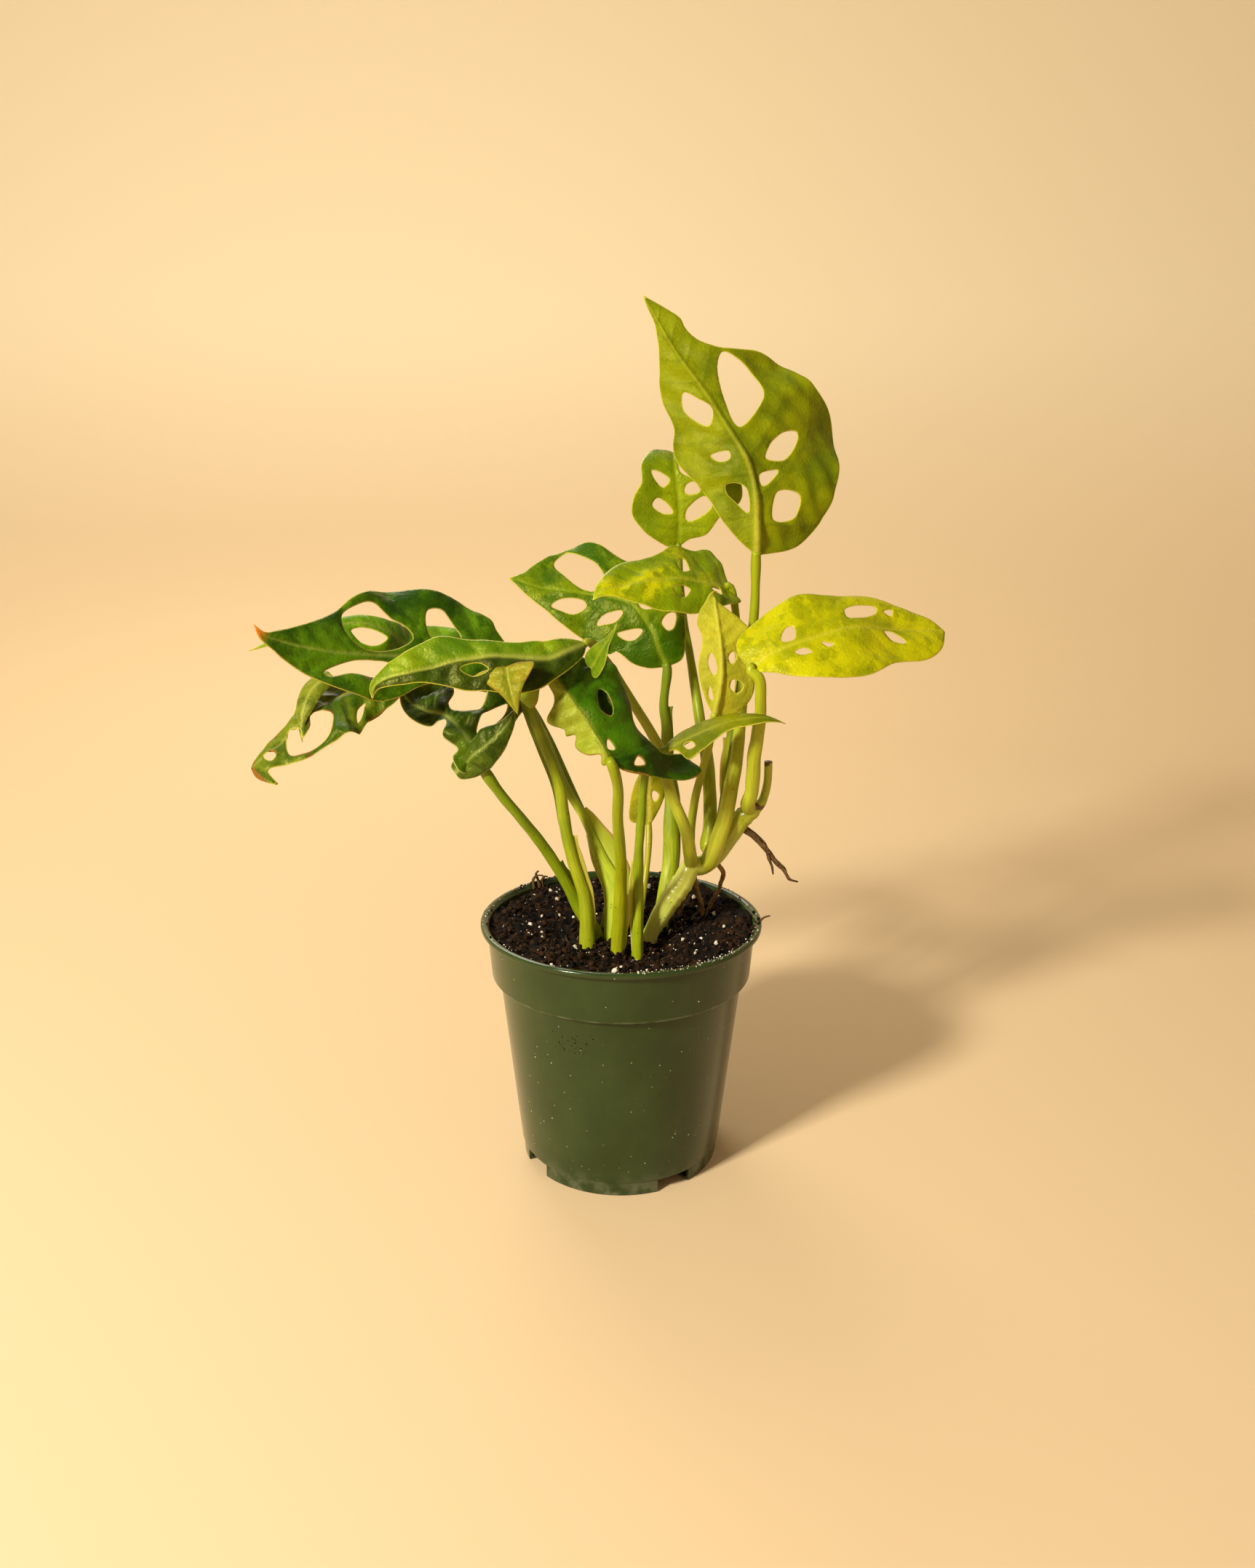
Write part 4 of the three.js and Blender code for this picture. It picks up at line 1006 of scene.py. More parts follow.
# the broad leaf in the middle
LEAVES["mid_left"] = dict(
    rib=[
        [16, 20, 180], [13, 20, 186], [11, 21, 192], [7, 23, 198], [3, 26, 202], [-4, 28, 204],
        [-12, 30, 205], [-23, 32, 206], [-32, 34, 207], [-42, 36, 210],
    ],
    face=[[0, -1, 0.1], [0, -0.9, 0.5], [0, -0.75, 0.65]],
    fold=[-4, -8],
    curl=[-8, -10],
    wave=[1.5, 24, 0.5],
    plus=[
        [0, 6], [3, 9], [12, 12], [17, 16], [24, 18], [31, 16], [35, 16], [45, 21], [51, 21],
        [64, 14], [71, 3],
    ],
    minus=[[3, -7], [15, -18], [26, -19], [37, -18], [45, -16], [51, -13], [60, -7]],
    holes=[
        [[59.5, 11.5], [56.5, 17], [48.5, 15], [43, 12], [39.5, 7], [41.5, 1.5], [46, 1.5], [53.5, 6]],
        [[56, -6.5], [53, -3.5], [45, -3], [43.5, -5], [48, -8.5], [52, -8]],
        [[38, -11], [36.5, -7.5], [29.5, -4], [28, -5], [30, -8]],
        [[21, -11], [16.5, -3], [14.5, -7], [16, -9.5]],
        [[15, 4.5], [16.5, 8], [15.5, 10.5], [12.5, 7.5], [12.5, 5]],
        [[26, 2], [21, 5], [23, 1.5]],
    ],
    petiole=[
        [14, 5, 84], [16, 4, 98], [18, 8, 111], [18, 11, 122], [18, 14, 133], [16, 17, 145],
        [16, 19, 158], [15, 20, 166],
    ],
    section=[[0, 3.2, 2.4], [0.5, 2.9, 2.1], [0.65, 2, 1.8], [1, 1.5, 1.5]],
)
# the yellow leaf over it
LEAVES["centre_top"] = dict(
    rib=[
        [37, 12, 210], [32, 9, 211], [21, 4, 213], [10, -1, 213], [-1, -6, 212], [-6, -9, 211],
        [-10, -11, 208],
    ],
    face=[[0, -0.6, 0.8]],
    fold=[4, -10],
    curl=[-12, -12],
    wave=[1, 20, 0],
    plus=[[-1, 4], [-1, 12], [1, 19], [10, 19], [17, 18], [22, 14], [30, 11], [38, 10], [51, 2]],
    minus=[[-3, -6], [4, -9], [14, -13], [23, -14], [31, -12], [39, -8], [50, -2]],
    holes=[
        [[18.5, 8], [15.5, 10.5], [15, 5], [18, 3.5]],
        [[24, -4], [19.5, -3], [17, -4], [21, -7.5]],
        [[8.5, -3], [5.5, -1.5], [5, -4.5]],
    ],
    petiole=[[39, 5, 127], [38, 8, 139], [39, 10, 158], [41, 12, 170], [41, 13, 186]],
    section=[[0, 2, 1.7], [0.4, 1.7, 1.5], [1, 1.2, 1.2]],
)
print("tables:", ", ".join(LEAVES))

# %% Tables of the leaves on the right
# the bright leaf on the right
LEAVES["right"] = dict(
    rib=[
        [42, -17, 186], [48, -17, 191], [58, -16, 195], [66, -14, 197], [76, -11, 199], [91, -5, 198],
        [110, 1, 196],
    ],
    face=[[-0.1, -0.7, 0.7], [0, -0.65, 0.75]],
    fold=[-4, 4],
    curl=[-6, -14],
    wave=[1, 28, 2],
    plus=[[1, 2], [5, 6], [14, 12], [22, 16], [39, 18], [51, 14], [64, 12], [70, 8]],
    minus=[[0, -7], [2, -11], [8, -14], [17, -17], [27, -18], [38, -15], [49, -14], [69, -5]],
    holes=[
        [[38.5, -8], [49.5, -8.5], [49.5, -6.5], [43, -4], [38, -4.5]],
        [[52.5, -7], [56, -8], [55, -5.5]],
        [[13.5, -2.5], [16.5, -6.5], [19, -6.5], [18, -2], [15.5, -1.5]],
        [[50, 1.5], [53, 1.5], [57, 6], [51.5, 5]],
        [[25.5, 2.5], [29, 4.5], [27, 5]],
        [[16, 3], [19, 2.5], [21, 5], [18, 5]],
    ],
    petiole=[
        [44, -6, 136], [45, -8, 142], [45, -12, 155], [46, -15, 167], [46, -17, 175], [45, -18, 183],
    ],
    section=[[0, 2.7, 2.3], [0.6, 2.2, 2], [1, 1.5, 1.5]],
)
# the pale young leaf in the middle
LEAVES["centre"] = dict(
    rib=[[31, -13, 169], [33, -12, 181], [33, -10, 191], [32, -7, 199], [31, -3, 207], [32, 4, 209]],
    face=[[0, 1, 0.1], [0, 1, 0.3]],
    fold=[10, 10],
    curl=[8, 8],
    wave=[0.8, 18, 0],
    plus=[[5, 4], [11, 7], [18, 8], [28, 6], [33, 7], [36, 6], [42, 2]],
    minus=[[0, -4], [3, -8], [7, -11], [11, -12], [16, -11], [23, -11], [29, -10], [39, -2]],
    holes=[
        [[22, 3.5], [16.5, 1.5], [14, 2.5], [18, 4.5]],
        [[20, -2.5], [22, -4], [20.5, -5.5], [18, -3.5]],
        [[10.5, -3.5], [13, -4], [11.5, -8], [9, -6]],
        [[10, 3.5], [5.5, 1.5], [6, 3]],
    ],
    petiole=[[26, -2, 112], [25, 4, 115], [25, 6, 123], [26, 6, 133], [28, 4, 144], [30, -4, 156]],
    section=[[0, 1.7, 1.5], [1, 1.2, 1.2]],
)
# the narrow leaf low on the right
LEAVES["sliver"] = dict(
    rib=[
        [14, -16, 158], [21, -18, 162], [28, -20, 166], [38, -22, 170], [46, -23, 171],
        [54, -22, 169],
    ],
    face=[[0.05, -0.35, 1]],
    fold=[-10, 0],
    curl=[-30, -10],
    wave=[0.5, 18, 0],
    plus=[[5, 3], [9, 9], [14, 8], [24, 4], [34, 3]],
    minus=[[1, -2], [7, -7], [17, -6], [27, -4]],
    holes=[
        [[8, 2], [11, 2.5], [12, 5], [9.5, 5]],
    ],
    petiole=[[6, -16, 84], [6, -14, 107], [6, -14, 120], [7, -15, 136], [8, -16, 149], [10, -16, 155]],
    section=[[0, 2.3, 2.1], [0.4, 1.9, 1.8], [1, 1.2, 1.2]],
)
print("tables:", ", ".join(LEAVES))

# %% Tables of the folded and the twisted leaf
# the dark leaf with a folded side
LEAVES["dark"] = dict(
    rib=[
        [-3, -42, 160], [-6, -40, 166], [-10, -37, 172], [-15, -34, 178], [-20, -31, 184],
        [-24, -28, 188], [-29, -25, 188], [-35, -22, 188], [-41, -20, 187], [-45, -18, 185],
    ],
    face=[[0.5, -0.75, 0.3], [0.4, -0.8, 0.5], [0, -0.6, 0.8]],
    fold=[-5, -55],
    curl=[-8, -12],
    wave=[1, 14, 0],
    plus=[
        [-4, 4], [-7, 9], [-14, 25], [-14, 33], [-11, 36], [-7, 35], [-2, 21], [6, 17], [10, 16],
        [21, 21], [30, 21], [36, 14], [38, 8], [42, 3],
    ],
    minus=[
        [1, -3], [4, -2], [6, -6], [12, -9], [15, -7], [17, -10], [19, -9], [25, -12], [28, -6],
        [34, -4], [41, -5], [45, -15], [54, -7],
    ],
    holes=[
        [[23.5, 11.5], [21, 12.5], [14, 8], [17, 6], [20.5, 8]],
        [[8, 3.5], [4, 4], [5, 1.5]],
        [[-3, 7.5], [-1, 10], [-4, 11]],
    ],
    petiole=[[-1, -15, 84], [0, -20, 109], [0, -27, 124], [-1, -33, 138], [-1, -39, 152]],
    section=[[0, 2.8, 2.5], [0.4, 2.3, 2.2], [1, 1.6, 1.6]],
)
# the long twisted leaf
LEAVES["long"] = dict(
    rib=[
        [-11, -24, 196], [-17, -30, 194], [-24, -33, 192], [-35, -35, 193], [-43, -36, 193],
        [-52, -37, 192], [-60, -38, 190], [-67, -39, 188], [-72, -39, 187], [-77, -38, 184],
        [-79, -36, 179],
    ],
    face=[[0, -0.6, 0.8]],
    fold=[20, -25],
    curl=[-10, -10],
    wave=[1.5, 16, 0],
    plus=[[6, 4], [20, 6], [27, 5], [41, 7], [48, 9], [56, 8], [65, 5], [72, 2]],
    minus=[[6, -4], [15, -7], [20, -11], [28, -12], [44, -10], [58, -4], [67, -3]],
    holes=[
        [[44, -3], [38, -2], [35, -4.5], [40, -6]],
    ],
    petiole=[
        [24, -9, 120], [22, -10, 129], [18, -10, 139], [16, -9, 145], [14, -7, 154], [10, -6, 162],
        [4, -8, 172], [-4, -13, 186],
    ],
    section=[[0, 2.5, 2.2], [0.3, 2, 1.8], [1, 1.3, 1.3]],
)
print("tables:", ", ".join(LEAVES))

# %% Tables of the lower leaves
# the dark leaf on the far left
LEAVES["far_left"] = dict(
    rib=[
        [-39, 4, 187], [-50, -1, 187], [-63, -6, 188], [-76, -12, 189], [-84, -16, 190],
        [-92, -20, 191], [-99, -24, 193], [-109, -28, 196], [-113, -30, 198], [-116, -31, 202],
    ],
    face=[[0, -0.85, 0.55]],
    fold=[5, 0],
    curl=[-12, -8],
    wave=[1.5, 26, 0],
    plus=[
        [0, 3], [3, 9], [4, 13], [12, 19], [20, 23], [36, 26], [42, 25], [51, 21], [61, 14], [78, 4],
        [84, 1],
    ],
    minus=[[5, -4], [20, -9], [32, -11], [41, -15], [49, -16], [66, -10], [77, -5], [83, -2]],
    holes=[
        [
            [56.5, 14], [51.5, 17.5], [46, 19], [39.5, 13.5], [35, 10.5], [33, 6.5], [39, 2.5],
            [49, 1.5], [54, 4.5], [56.5, 9],
        ],
        [[27, 16.5], [23, 17], [19.5, 12], [17, 6.5], [26, 6], [28, 10.5]],
        [
            [63.5, -7.5], [56, -3], [47.5, -2], [42, -3], [43.5, -7], [47.5, -9.5], [51, -7.5],
            [56, -7], [61.5, -8.5],
        ],
    ],
    petiole=[
        [-12, -9, 84], [-13, -6, 101], [-17, -4, 114], [-20, -2, 127], [-22, 0, 141], [-27, -3, 157],
        [-31, -5, 169], [-35, -4, 182], [-38, 0, 187],
    ],
    section=[[0, 3.4, 2.6], [0.25, 2.3, 2.1], [0.6, 2.1, 1.9], [1, 1.5, 1.5]],
)
# the leaf under it
LEAVES["under"] = dict(
    rib=[
        [-54, 24, 184], [-68, 18, 186], [-76, 13, 189], [-81, 9, 194], [-89, 6, 197], [-97, 2, 197],
        [-105, -4, 196], [-114, -10, 194], [-123, -16, 191],
    ],
    face=[[0, -0.6, 0.8]],
    fold=[0, -10],
    curl=[-10, -15],
    wave=[1, 22, 0],
    plus=[[2, 11], [10, 14], [19, 12], [30, 7], [46, 4], [60, 3], [72, 1.5]],
    minus=[[6, -3], [19, -6], [39, -12], [53, -8], [73, -2]],
    holes=[
        [[48, -3], [34, -3], [37, -7.5], [45, -8]],
    ],
    petiole=[
        [-6, 8, 84], [-4, 10, 99], [-11, 14, 118], [-17, 17, 131], [-23, 20, 144], [-32, 23, 162],
        [-44, 24, 177],
    ],
    section=[[0, 2, 1.8], [1, 1.2, 1.2]],
)
# the torn leaf, lowest on the left
LEAVES["torn"] = dict(
    rib=[
        [-78, 18, 173], [-87, 17, 173], [-95, 15, 172], [-102, 11, 170], [-108, 6, 167],
        [-113, 2, 162], [-119, -2, 157], [-124, -6, 153], [-128, -8, 149],
    ],
    face=[[-0.2, -0.75, 0.6], [-0.4, -0.75, 0.45]],
    fold=[-8, -4],
    curl=[-22, -6],
    wave=[1.5, 15, 0],
    plus=[[3, 4], [10, 4], [18, 10], [22, 14], [27, 14], [31, 12], [36, 8], [42, 5], [51, 5], [62, 2]],
    minus=[
        [3, -6], [10, -11], [22, -16], [29, -18], [38, -16], [42, -14], [50, -12.5], [54, -10],
        [58, -7], [61, -6], [62, -13], [65.5, -5],
    ],
    holes=[
        [
            [46, 1], [43, -2], [45, -5], [40, -3.5], [37, -1], [31, -5], [36, -11], [41, -12],
            [49, -10], [52, -7], [50.5, -3],
        ],
        [[58.5, 0.5], [56, 0.5], [55, -2.5], [58, -3.5]],
        [[24, -13.5], [20.5, -8.5], [16, -6.5], [19.5, -11]],
    ],
    petiole=[
        [-3, -3, 84], [-3, 2, 102], [-8, 6, 113], [-13, 10, 125], [-20, 13, 136], [-24, 15, 145],
        [-30, 17, 158], [-41, 18, 169], [-56, 18, 173],
    ],
    section=[[0, 3, 1.8], [0.25, 3.3, 1.5], [0.36, 1.6, 1.4], [1, 1.1, 1.1]],
)
# the crumpled leaf
LEAVES["crumpled"] = dict(
    rib=[
        [-47, -15, 151], [-51, -14, 159], [-56, -11, 165], [-61, -6, 168], [-68, -1, 168],
        [-74, 4, 170], [-78, 7, 174],
    ],
    face=[[0.3, -0.85, 0.4], [0.1, -0.8, 0.6]],
    fold=[-5, -5],
    curl=[-6, -12],
    wave=[2, 12, 0],
    plus=[
        [1, 9], [6, 14], [10, 22], [10, 28], [14, 30], [21, 26], [23, 19], [20, 10], [21, 5.5],
        [24, 3], [26, 4], [28, 11], [42, 14], [48, 8],
    ],
    minus=[
        [0, -3], [2, -7], [5, -8], [9, -7], [10, -4.5], [17, -6], [19, -3], [23, -1.5], [25, -4],
        [36, -5], [46, -2],
    ],
    holes=[
        [[11.5, 4.5], [15, 8], [17, 15], [16, 20], [12.5, 17], [10.5, 7.5]],
    ],
    petiole=[
        [-9, -1, 84], [-15, -1, 95], [-19, -2, 104], [-24, -4, 114], [-29, -7, 123], [-36, -11, 134],
        [-41, -13, 141],
    ],
    section=[[0, 2.4, 2.1], [0.2, 2.7, 2], [0.4, 2.1, 1.9], [1, 1.7, 1.6]],
)
# the small yellow leaf near the soil
LEAVES["low"] = dict(
    rib=[[10, 16, 121], [10, 17, 131], [10, 19, 140], [10, 22, 146]],
    face=[[0, -1, 0.1]],
    fold=[-5, -5],
    curl=[-10, -10],
    wave=[0.5, 12, 0],
    plus=[[3, 2], [8, 4.5], [13, 6], [20, 5]],
    minus=[[1, -2], [2, -7], [10, -7], [17, -5]],
    holes=[
        [[11.5, 1], [13.5, 1.5], [12, 3.5], [9.5, 2]],
    ],
    petiole=[[6, 1, 84], [7, 3, 93], [9, 8, 106], [10, 13, 115]],
    section=[[0, 1.5, 1.4], [1, 1, 1]],
)
print("tables:", ", ".join(LEAVES))

# %% [markdown]
# ## Looks of the leaves
# Each row gives the finish slot, four colours, what else is special about the tissue, and
# the relief. The colours are those of the deep and light tissue, of the fine veins and of
# the midrib; on the crown the veins are painted darker, as the shade beside their ridges.
# A half colour paints shade or light on one side of a blade, and blotches partly paint
# dappled shade. The newest leaves are neon yellow, and the older ones below are darker.

# %% Build the leaves
LEAF_LOOKS = {
    # the crown's veins are darker than its tissue: painted shade beside the raised veins
    "crown": (
        "leaf_neon", ("586402", "767c02", "4c5602", "a8a232"), dict(through=0.35, dull=0.0, blotch=0.2),
        dict(crumple=0.6, quilt=0.25, foot=1.5, rib_fade=0.85, seed=3),
    ),
    "back": (
        "leaf_neon", ("607204", "808c06", "5c6c02", "7e8a0c"), dict(through=0.35, blotch=0.2),
        dict(crumple=0.4, quilt=0.3, seed=8),
    ),
    # the darker half of this leaf is painted shade on its side turned from the light
    "mid_left": (
        "leaf_mid", ("2c5002", "6c7c04", "4c6806", "788818"), dict(half="244802", blotch=0.7),
        dict(crumple=0.4, quilt=0.2, half=(-1, 0.9, 0.0), seed=13),
    ),
    "centre_top": (
        "leaf_neon", ("6a7c02", "b2b004", "9aa00a", "9c9c20"), dict(balance=0.43, blotch=0.75),
        dict(crumple=0.6, quilt=0.3, seed=18),
    ),
    "right": (
        "leaf_neon", ("7c8202", "aca802", "9e9a08", "aca620"), dict(balance=0.56, blotch=0.6),
        dict(crumple=0.5, quilt=0.22, seed=23),
    ),
    "centre": (
        "leaf_neon", ("7c7e08", "9e9810", "86840e", "b0aa38"), dict(through=0.3),
        dict(crumple=0.7, quilt=0.35, seed=28),
    ),
    "sliver": (
        "leaf_neon", ("565f02", "7a7a04", "6c700a", "86861c"), dict(),
        dict(crumple=0.3, quilt=0.25, seed=33),
    ),
    # the pale half of this leaf is painted light, its side that faces the lamp
    "dark": (
        "leaf_dark", ("0f2e01", "3a6203", "3a600a", "7c8024"),
        dict(rim="6e7a24", dry="8a6a2c", half="8e9426", blotch=0.6),
        dict(crumple=0.8, quilt=1.0, dry_rim=0.5, half=(-1, 0.95, 0.5), seed=38),
    ),
    # the dark lower half of this leaf is painted shade on its side folded away from the light
    "long": (
        "leaf_mid", ("446404", "70840a", "647612", "90923a"), dict(half="0e1e02", blotch=0.6),
        dict(crumple=0.7, quilt=0.5, half=(-1, 1.0, 0.9), seed=43),
    ),
    "far_left": (
        "leaf_dark", ("183802", "4a6c05", "3c600a", "74802c"), dict(rim="9a8a3a", dry="b8641a", blotch=0.6),
        dict(crumple=0.6, quilt=0.6, dry_tip=9, seed=48),
    ),
    "under": (
        "leaf_mid", ("467204", "76980a", "6c881c", "848e30"), dict(),
        dict(crumple=0.4, quilt=0.4, seed=53),
    ),
    "torn": (
        "leaf_dark", ("2c4803", "626e10", "505a16", "868436"), dict(dry="7a4a1a", blotch=0.7),
        dict(crumple=0.9, quilt=0.8, dry_rim=0.8, dry_tip=1.5, seed=58),
    ),
    "crumpled": (
        "leaf_dark", ("122802", "3e5606", "56661e", "7c8838"), dict(rim="9ea05e", dull=0.05, blotch=0.6),
        dict(crumple=1.7, quilt=1.2, dry_rim=0.4, seed=63),
    ),
    "low": (
        "leaf_neon", ("706c08", "969016", "a09422", "beb046"), dict(),
        dict(crumple=0.4, quilt=0.4, seed=68),
    ),
}
for name, (slot, colours, tissue, relief) in LEAF_LOOKS.items():
    finish = leaf_material(name + "_tissue", *colours, **tissue)
    make_leaf(name, LEAVES[name], finish, slot, **relief)

# %% [markdown]
# ## Curled and torn corners
# The dark leaf is torn near its top: a loose piece hangs forward over the long leaf as a
# small browning triangle, a point curls up where the two leaves meet, and a corner is
# tucked behind the largest hole. The crumpled and the torn leaf each have an edge that
# rolls over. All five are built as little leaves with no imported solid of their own.

# %% Build the corners
CORNERS = {}
# the loose piece of the dark leaf
CORNERS["flap"] = dict(
    rib=[[-36, -38, 190], [-35, -41, 185.5], [-33.5, -43.5, 180.5], [-32, -44, 176]],
    face=[[0.1, -0.8, 0.55]],
    fold=[-12, 24],
    curl=[-10, 25],
    wave=[0.4, 9, 0],
    plus=[[-0.5, 4], [0.5, 10], [4, 7], [9, 3]],
    minus=[[0, -5], [2, -10], [5, -7.5], [10, -3]],
)
# the point where the long and dark leaves meet
CORNERS["curl"] = dict(
    rib=[[-10, -32, 188.5], [-7, -33.5, 193.3], [-4, -35, 198.5], [-1.6, -35, 204]],
    face=[[-0.35, -0.9, 0.3]],
    fold=[24, -8],
    curl=[30, -20],
    wave=[0.4, 8, 1],
    plus=[[-0.5, 3], [1, 6], [6, 5], [12, 1.6]],
    minus=[[0, -3.5], [3, -4.6], [9, -2.6], [13, -1]],
)
# the corner behind the largest hole of the dark leaf
CORNERS["tuck"] = dict(
    rib=[[-3, -29.5, 167.6], [-4, -27, 172], [-5.5, -24, 176.6], [-6, -20.5, 182]],
    face=[[0.1, -0.8, 0.6]],
    fold=[8, -4],
    curl=[10, -10],
    wave=[0.3, 8, 1],
    plus=[[-0.5, 3], [4, 5.4], [11, 4.6], [16, 2]],
    minus=[[0, -3], [4, -5.4], [10, -5], [15, -2.2]],
)
# the edge that rolls over the crumpled leaf
CORNERS["crumpled_curl"] = dict(
    rib=[[-56.5, -17, 150], [-50, -19, 156.5], [-43.5, -20, 162], [-37.5, -18, 168], [-36, -15, 171.5]],
    face=[[0.1, -0.8, 0.5]],
    fold=[-12, -12],
    curl=[-70, -70],
    wave=[0.9, 9, 1],
    plus=[[0, 3], [5, 6.5], [12, 7], [19, 5.5], [25, 3]],
    minus=[[0, -3.5], [4, -6], [11, -5.5], [18, -6], [25, -2.5]],
)
# the edge that rolls over the torn leaf
CORNERS["torn_curl"] = dict(
    rib=[[-103, 12, 178], [-108.5, 8, 174], [-111, 3, 167.5], [-112, 0, 160.5], [-112, 0, 156]],
    face=[[-0.3, -0.8, 0.4]],
    fold=[-10, -10],
    curl=[-60, -50],
    wave=[0.5, 9, 1],
    plus=[[0, 2.5], [6, 4.5], [14, 4], [21, 2]],
    minus=[[0, -2.5], [7, -4], [15, -3.5], [21, -1.5]],
)
CORNER_LOOKS = {
    "flap": (
        "leaf_dark", ("566808", "887c1a", "7c761a", "949030"), dict(dry="7a5a1a", rim="8c861e", blotch=0.6),
        dict(crumple=0.9, dry_rim=0.4, foot=0.5, seed=71),
    ),
    "curl": (
        "leaf_mid", ("3e5c06", "6c7e0c", "5e7010", "7c861e"), dict(rim="808a1c", blotch=0.5),
        dict(crumple=0.7, foot=0.5, seed=76),
    ),
    "tuck": (
        "leaf_dark", ("0f2a01", "2a4e04", "2c5208", "4e6c18"), dict(rim="55701c"),
        dict(crumple=0.5, foot=0.5, seed=81),
    ),
    "crumpled_curl": (
        "leaf_dark", ("183004", "42520e", "425214", "7a863a"), dict(rim="a0a260", blotch=0.6),
        dict(crumple=1.0, foot=0.6, seed=86),
    ),
    "torn_curl": (
        "leaf_dark", ("3e5008", "767c1c", "6c761c", "9a9840"), dict(rim="8a8c30", blotch=0.5),
        dict(crumple=0.6, foot=0.5, seed=91),
    ),
}
for name, (slot, colours, tissue, relief) in CORNER_LOOKS.items():
    finish = leaf_material(name + "_tissue", *colours, **tissue)
    make_leaf(name, CORNERS[name], finish, slot, **relief)

# %% [markdown]
# ## The petioles
# Each petiole runs from the soil, or from a node of the vine, up to its leaf, where it
# carries on as the midrib. Those that start in the soil are sunk some way into it, and the
# others start from the middle of the vine, so that no open end shows at a node.

# %% Paths of the petioles
SOIL_LEVEL = 84
STEM_DEPTH = 14
MIDRIB_OVERLAP, MIDRIB_SINK = 1.6, 0.5
VINE = [
    [10, -4, 84], [13, -5, 92], [18, -5, 101], [22, -4, 107], [25, -3, 112], [29, -1, 112],
    [34, 0, 116], [39, 0, 123], [43, -1, 130], [46, -2, 133], [49, -3, 136], [50, -2, 138],
    [51, -2, 143], [51, -3, 151],
]


def sunk(path):
    """The path with a foot added below the soil."""
    x, y, z = path[0]
    return [[x, y, z - STEM_DEPTH], *path]


def petiole_path(name):
    """A petiole's line from the soil or the vine's middle into the start of its leaf's midrib."""
    spec = LEAVES[name]
    into = Blade(**spec).at(np.array([MIDRIB_OVERLAP]), np.array([0.0]), np.array([-MIDRIB_SINK]))[0]
    path = [*spec["petiole"], spec["rib"][0], into.tolist()]
    if spec["petiole"][0][2] == SOIL_LEVEL:
        return sunk(path)
    node = min(VINE, key=lambda spot: math.dist(spot, path[0]))
    return [node, *path]


print("the crown's petiole is", round(distances_along(smooth(petiole_path("crown")))[-1]), "mm long")

# %% [markdown]
# ## Finish and build the petioles
# Older petioles are greener at the top, and those of the newest leaves stay pale. A groove
# runs along each, and the last few millimetres under the leaf are swollen, which is the
# joint that turns the leaf to the light. The table gives the colour at the foot, at the top
# and of the streaks.

# %% Build the petioles
PETIOLE_COLOURS = {
    "crown": ("b2b232", "8a9206", "748204"), "back": ("9ea41a", "768404", "5c7002"),
    "mid_left": ("9ca41a", "627408", "4e6604"), "centre_top": ("9ca220", "8a920e", "708004"),
    "right": ("a8ac2a", "9ca016", "848c0a"), "centre": ("a8aa32", "9ea01e", "828a10"),
    "sliver": ("96a010", "708004", "586c02"), "dark": ("9ea014", "848c08", "647402"),
    "long": ("a8a82c", "848816", "68740a"), "far_left": ("989c16", "74820a", "586c04"),
    "under": ("829208", "647c04", "4c6a02"), "torn": ("aeb82c", "74860c", "5e7606"),
    "crumpled": ("8c9812", "6e800a", "566e04"), "low": ("a09824", "9c9216", "80800e"),
}
NECK, GROOVE = 0.16, 0.13
for seed, (name, (foot, top, streak)) in enumerate(PETIOLE_COLOURS.items()):
    finish = stalk_material(name + "_stalk", foot, top, streak)
    make_stalk(
        name + "_stalk", petiole_path(name), LEAVES[name]["section"], finish,
        [name + "_petiole"], neck=NECK, groove=GROOVE, groove_turn=math.radians(200 + 23 * seed), seed=seed,
    )
print("petioles:", len(PETIOLE_COLOURS))

# %% [markdown]
# ## The vine stem
# The stem leaves the soil at a slant, turns at its first node, climbs to the second, and
# ends in a dried stub. At each node old leaf bases left rings and brown scars.

# %% Build the vine stem
VINE_SECTION = [
    [0, 3.4, 3.2], [0.2, 3, 3], [0.37, 4, 3.8], [0.5, 3.4, 3.2], [0.7, 3.2, 3], [0.79, 3.2, 3],
    [0.85, 1.5, 1.5], [1, 1.4, 1.3],
]
VINE_RINGS = ((0.33, 0.1), (0.36, 0.13), (0.4, 0.1), (0.76, 0.12), (0.8, 0.16))
VINE_SCARS = ((0.83, 1.1), (1.0, 1.2))
# the near white-green foot is partly the stem's own pale base and partly a painted highlight where the
# lower stem lies in the petioles' shadow
finish = stalk_material("vine_stalk", "dfe378", "a0a61a", "a2aa22", change=0.5, share=0.2, coat=0.6)
make_stalk(
    "vine_stalk", sunk(VINE), VINE_SECTION, finish, ["vine_stem"], step=0.8, sides=28,
    lumps=0.045, lump_size=7, rings=VINE_RINGS, scars=VINE_SCARS, seed=40,
)
print("vine:", len(VINE), "points,", len(VINE_RINGS), "rings and", len(VINE_SCARS), "scars")

# %% [markdown]
# ## Aerial roots
# A thick forked root hangs from the upper node, and three thin, paler ones reach down into
# the soil from the lower one. They are knobbly, so the tubes get more unevenness than a
# stalk.

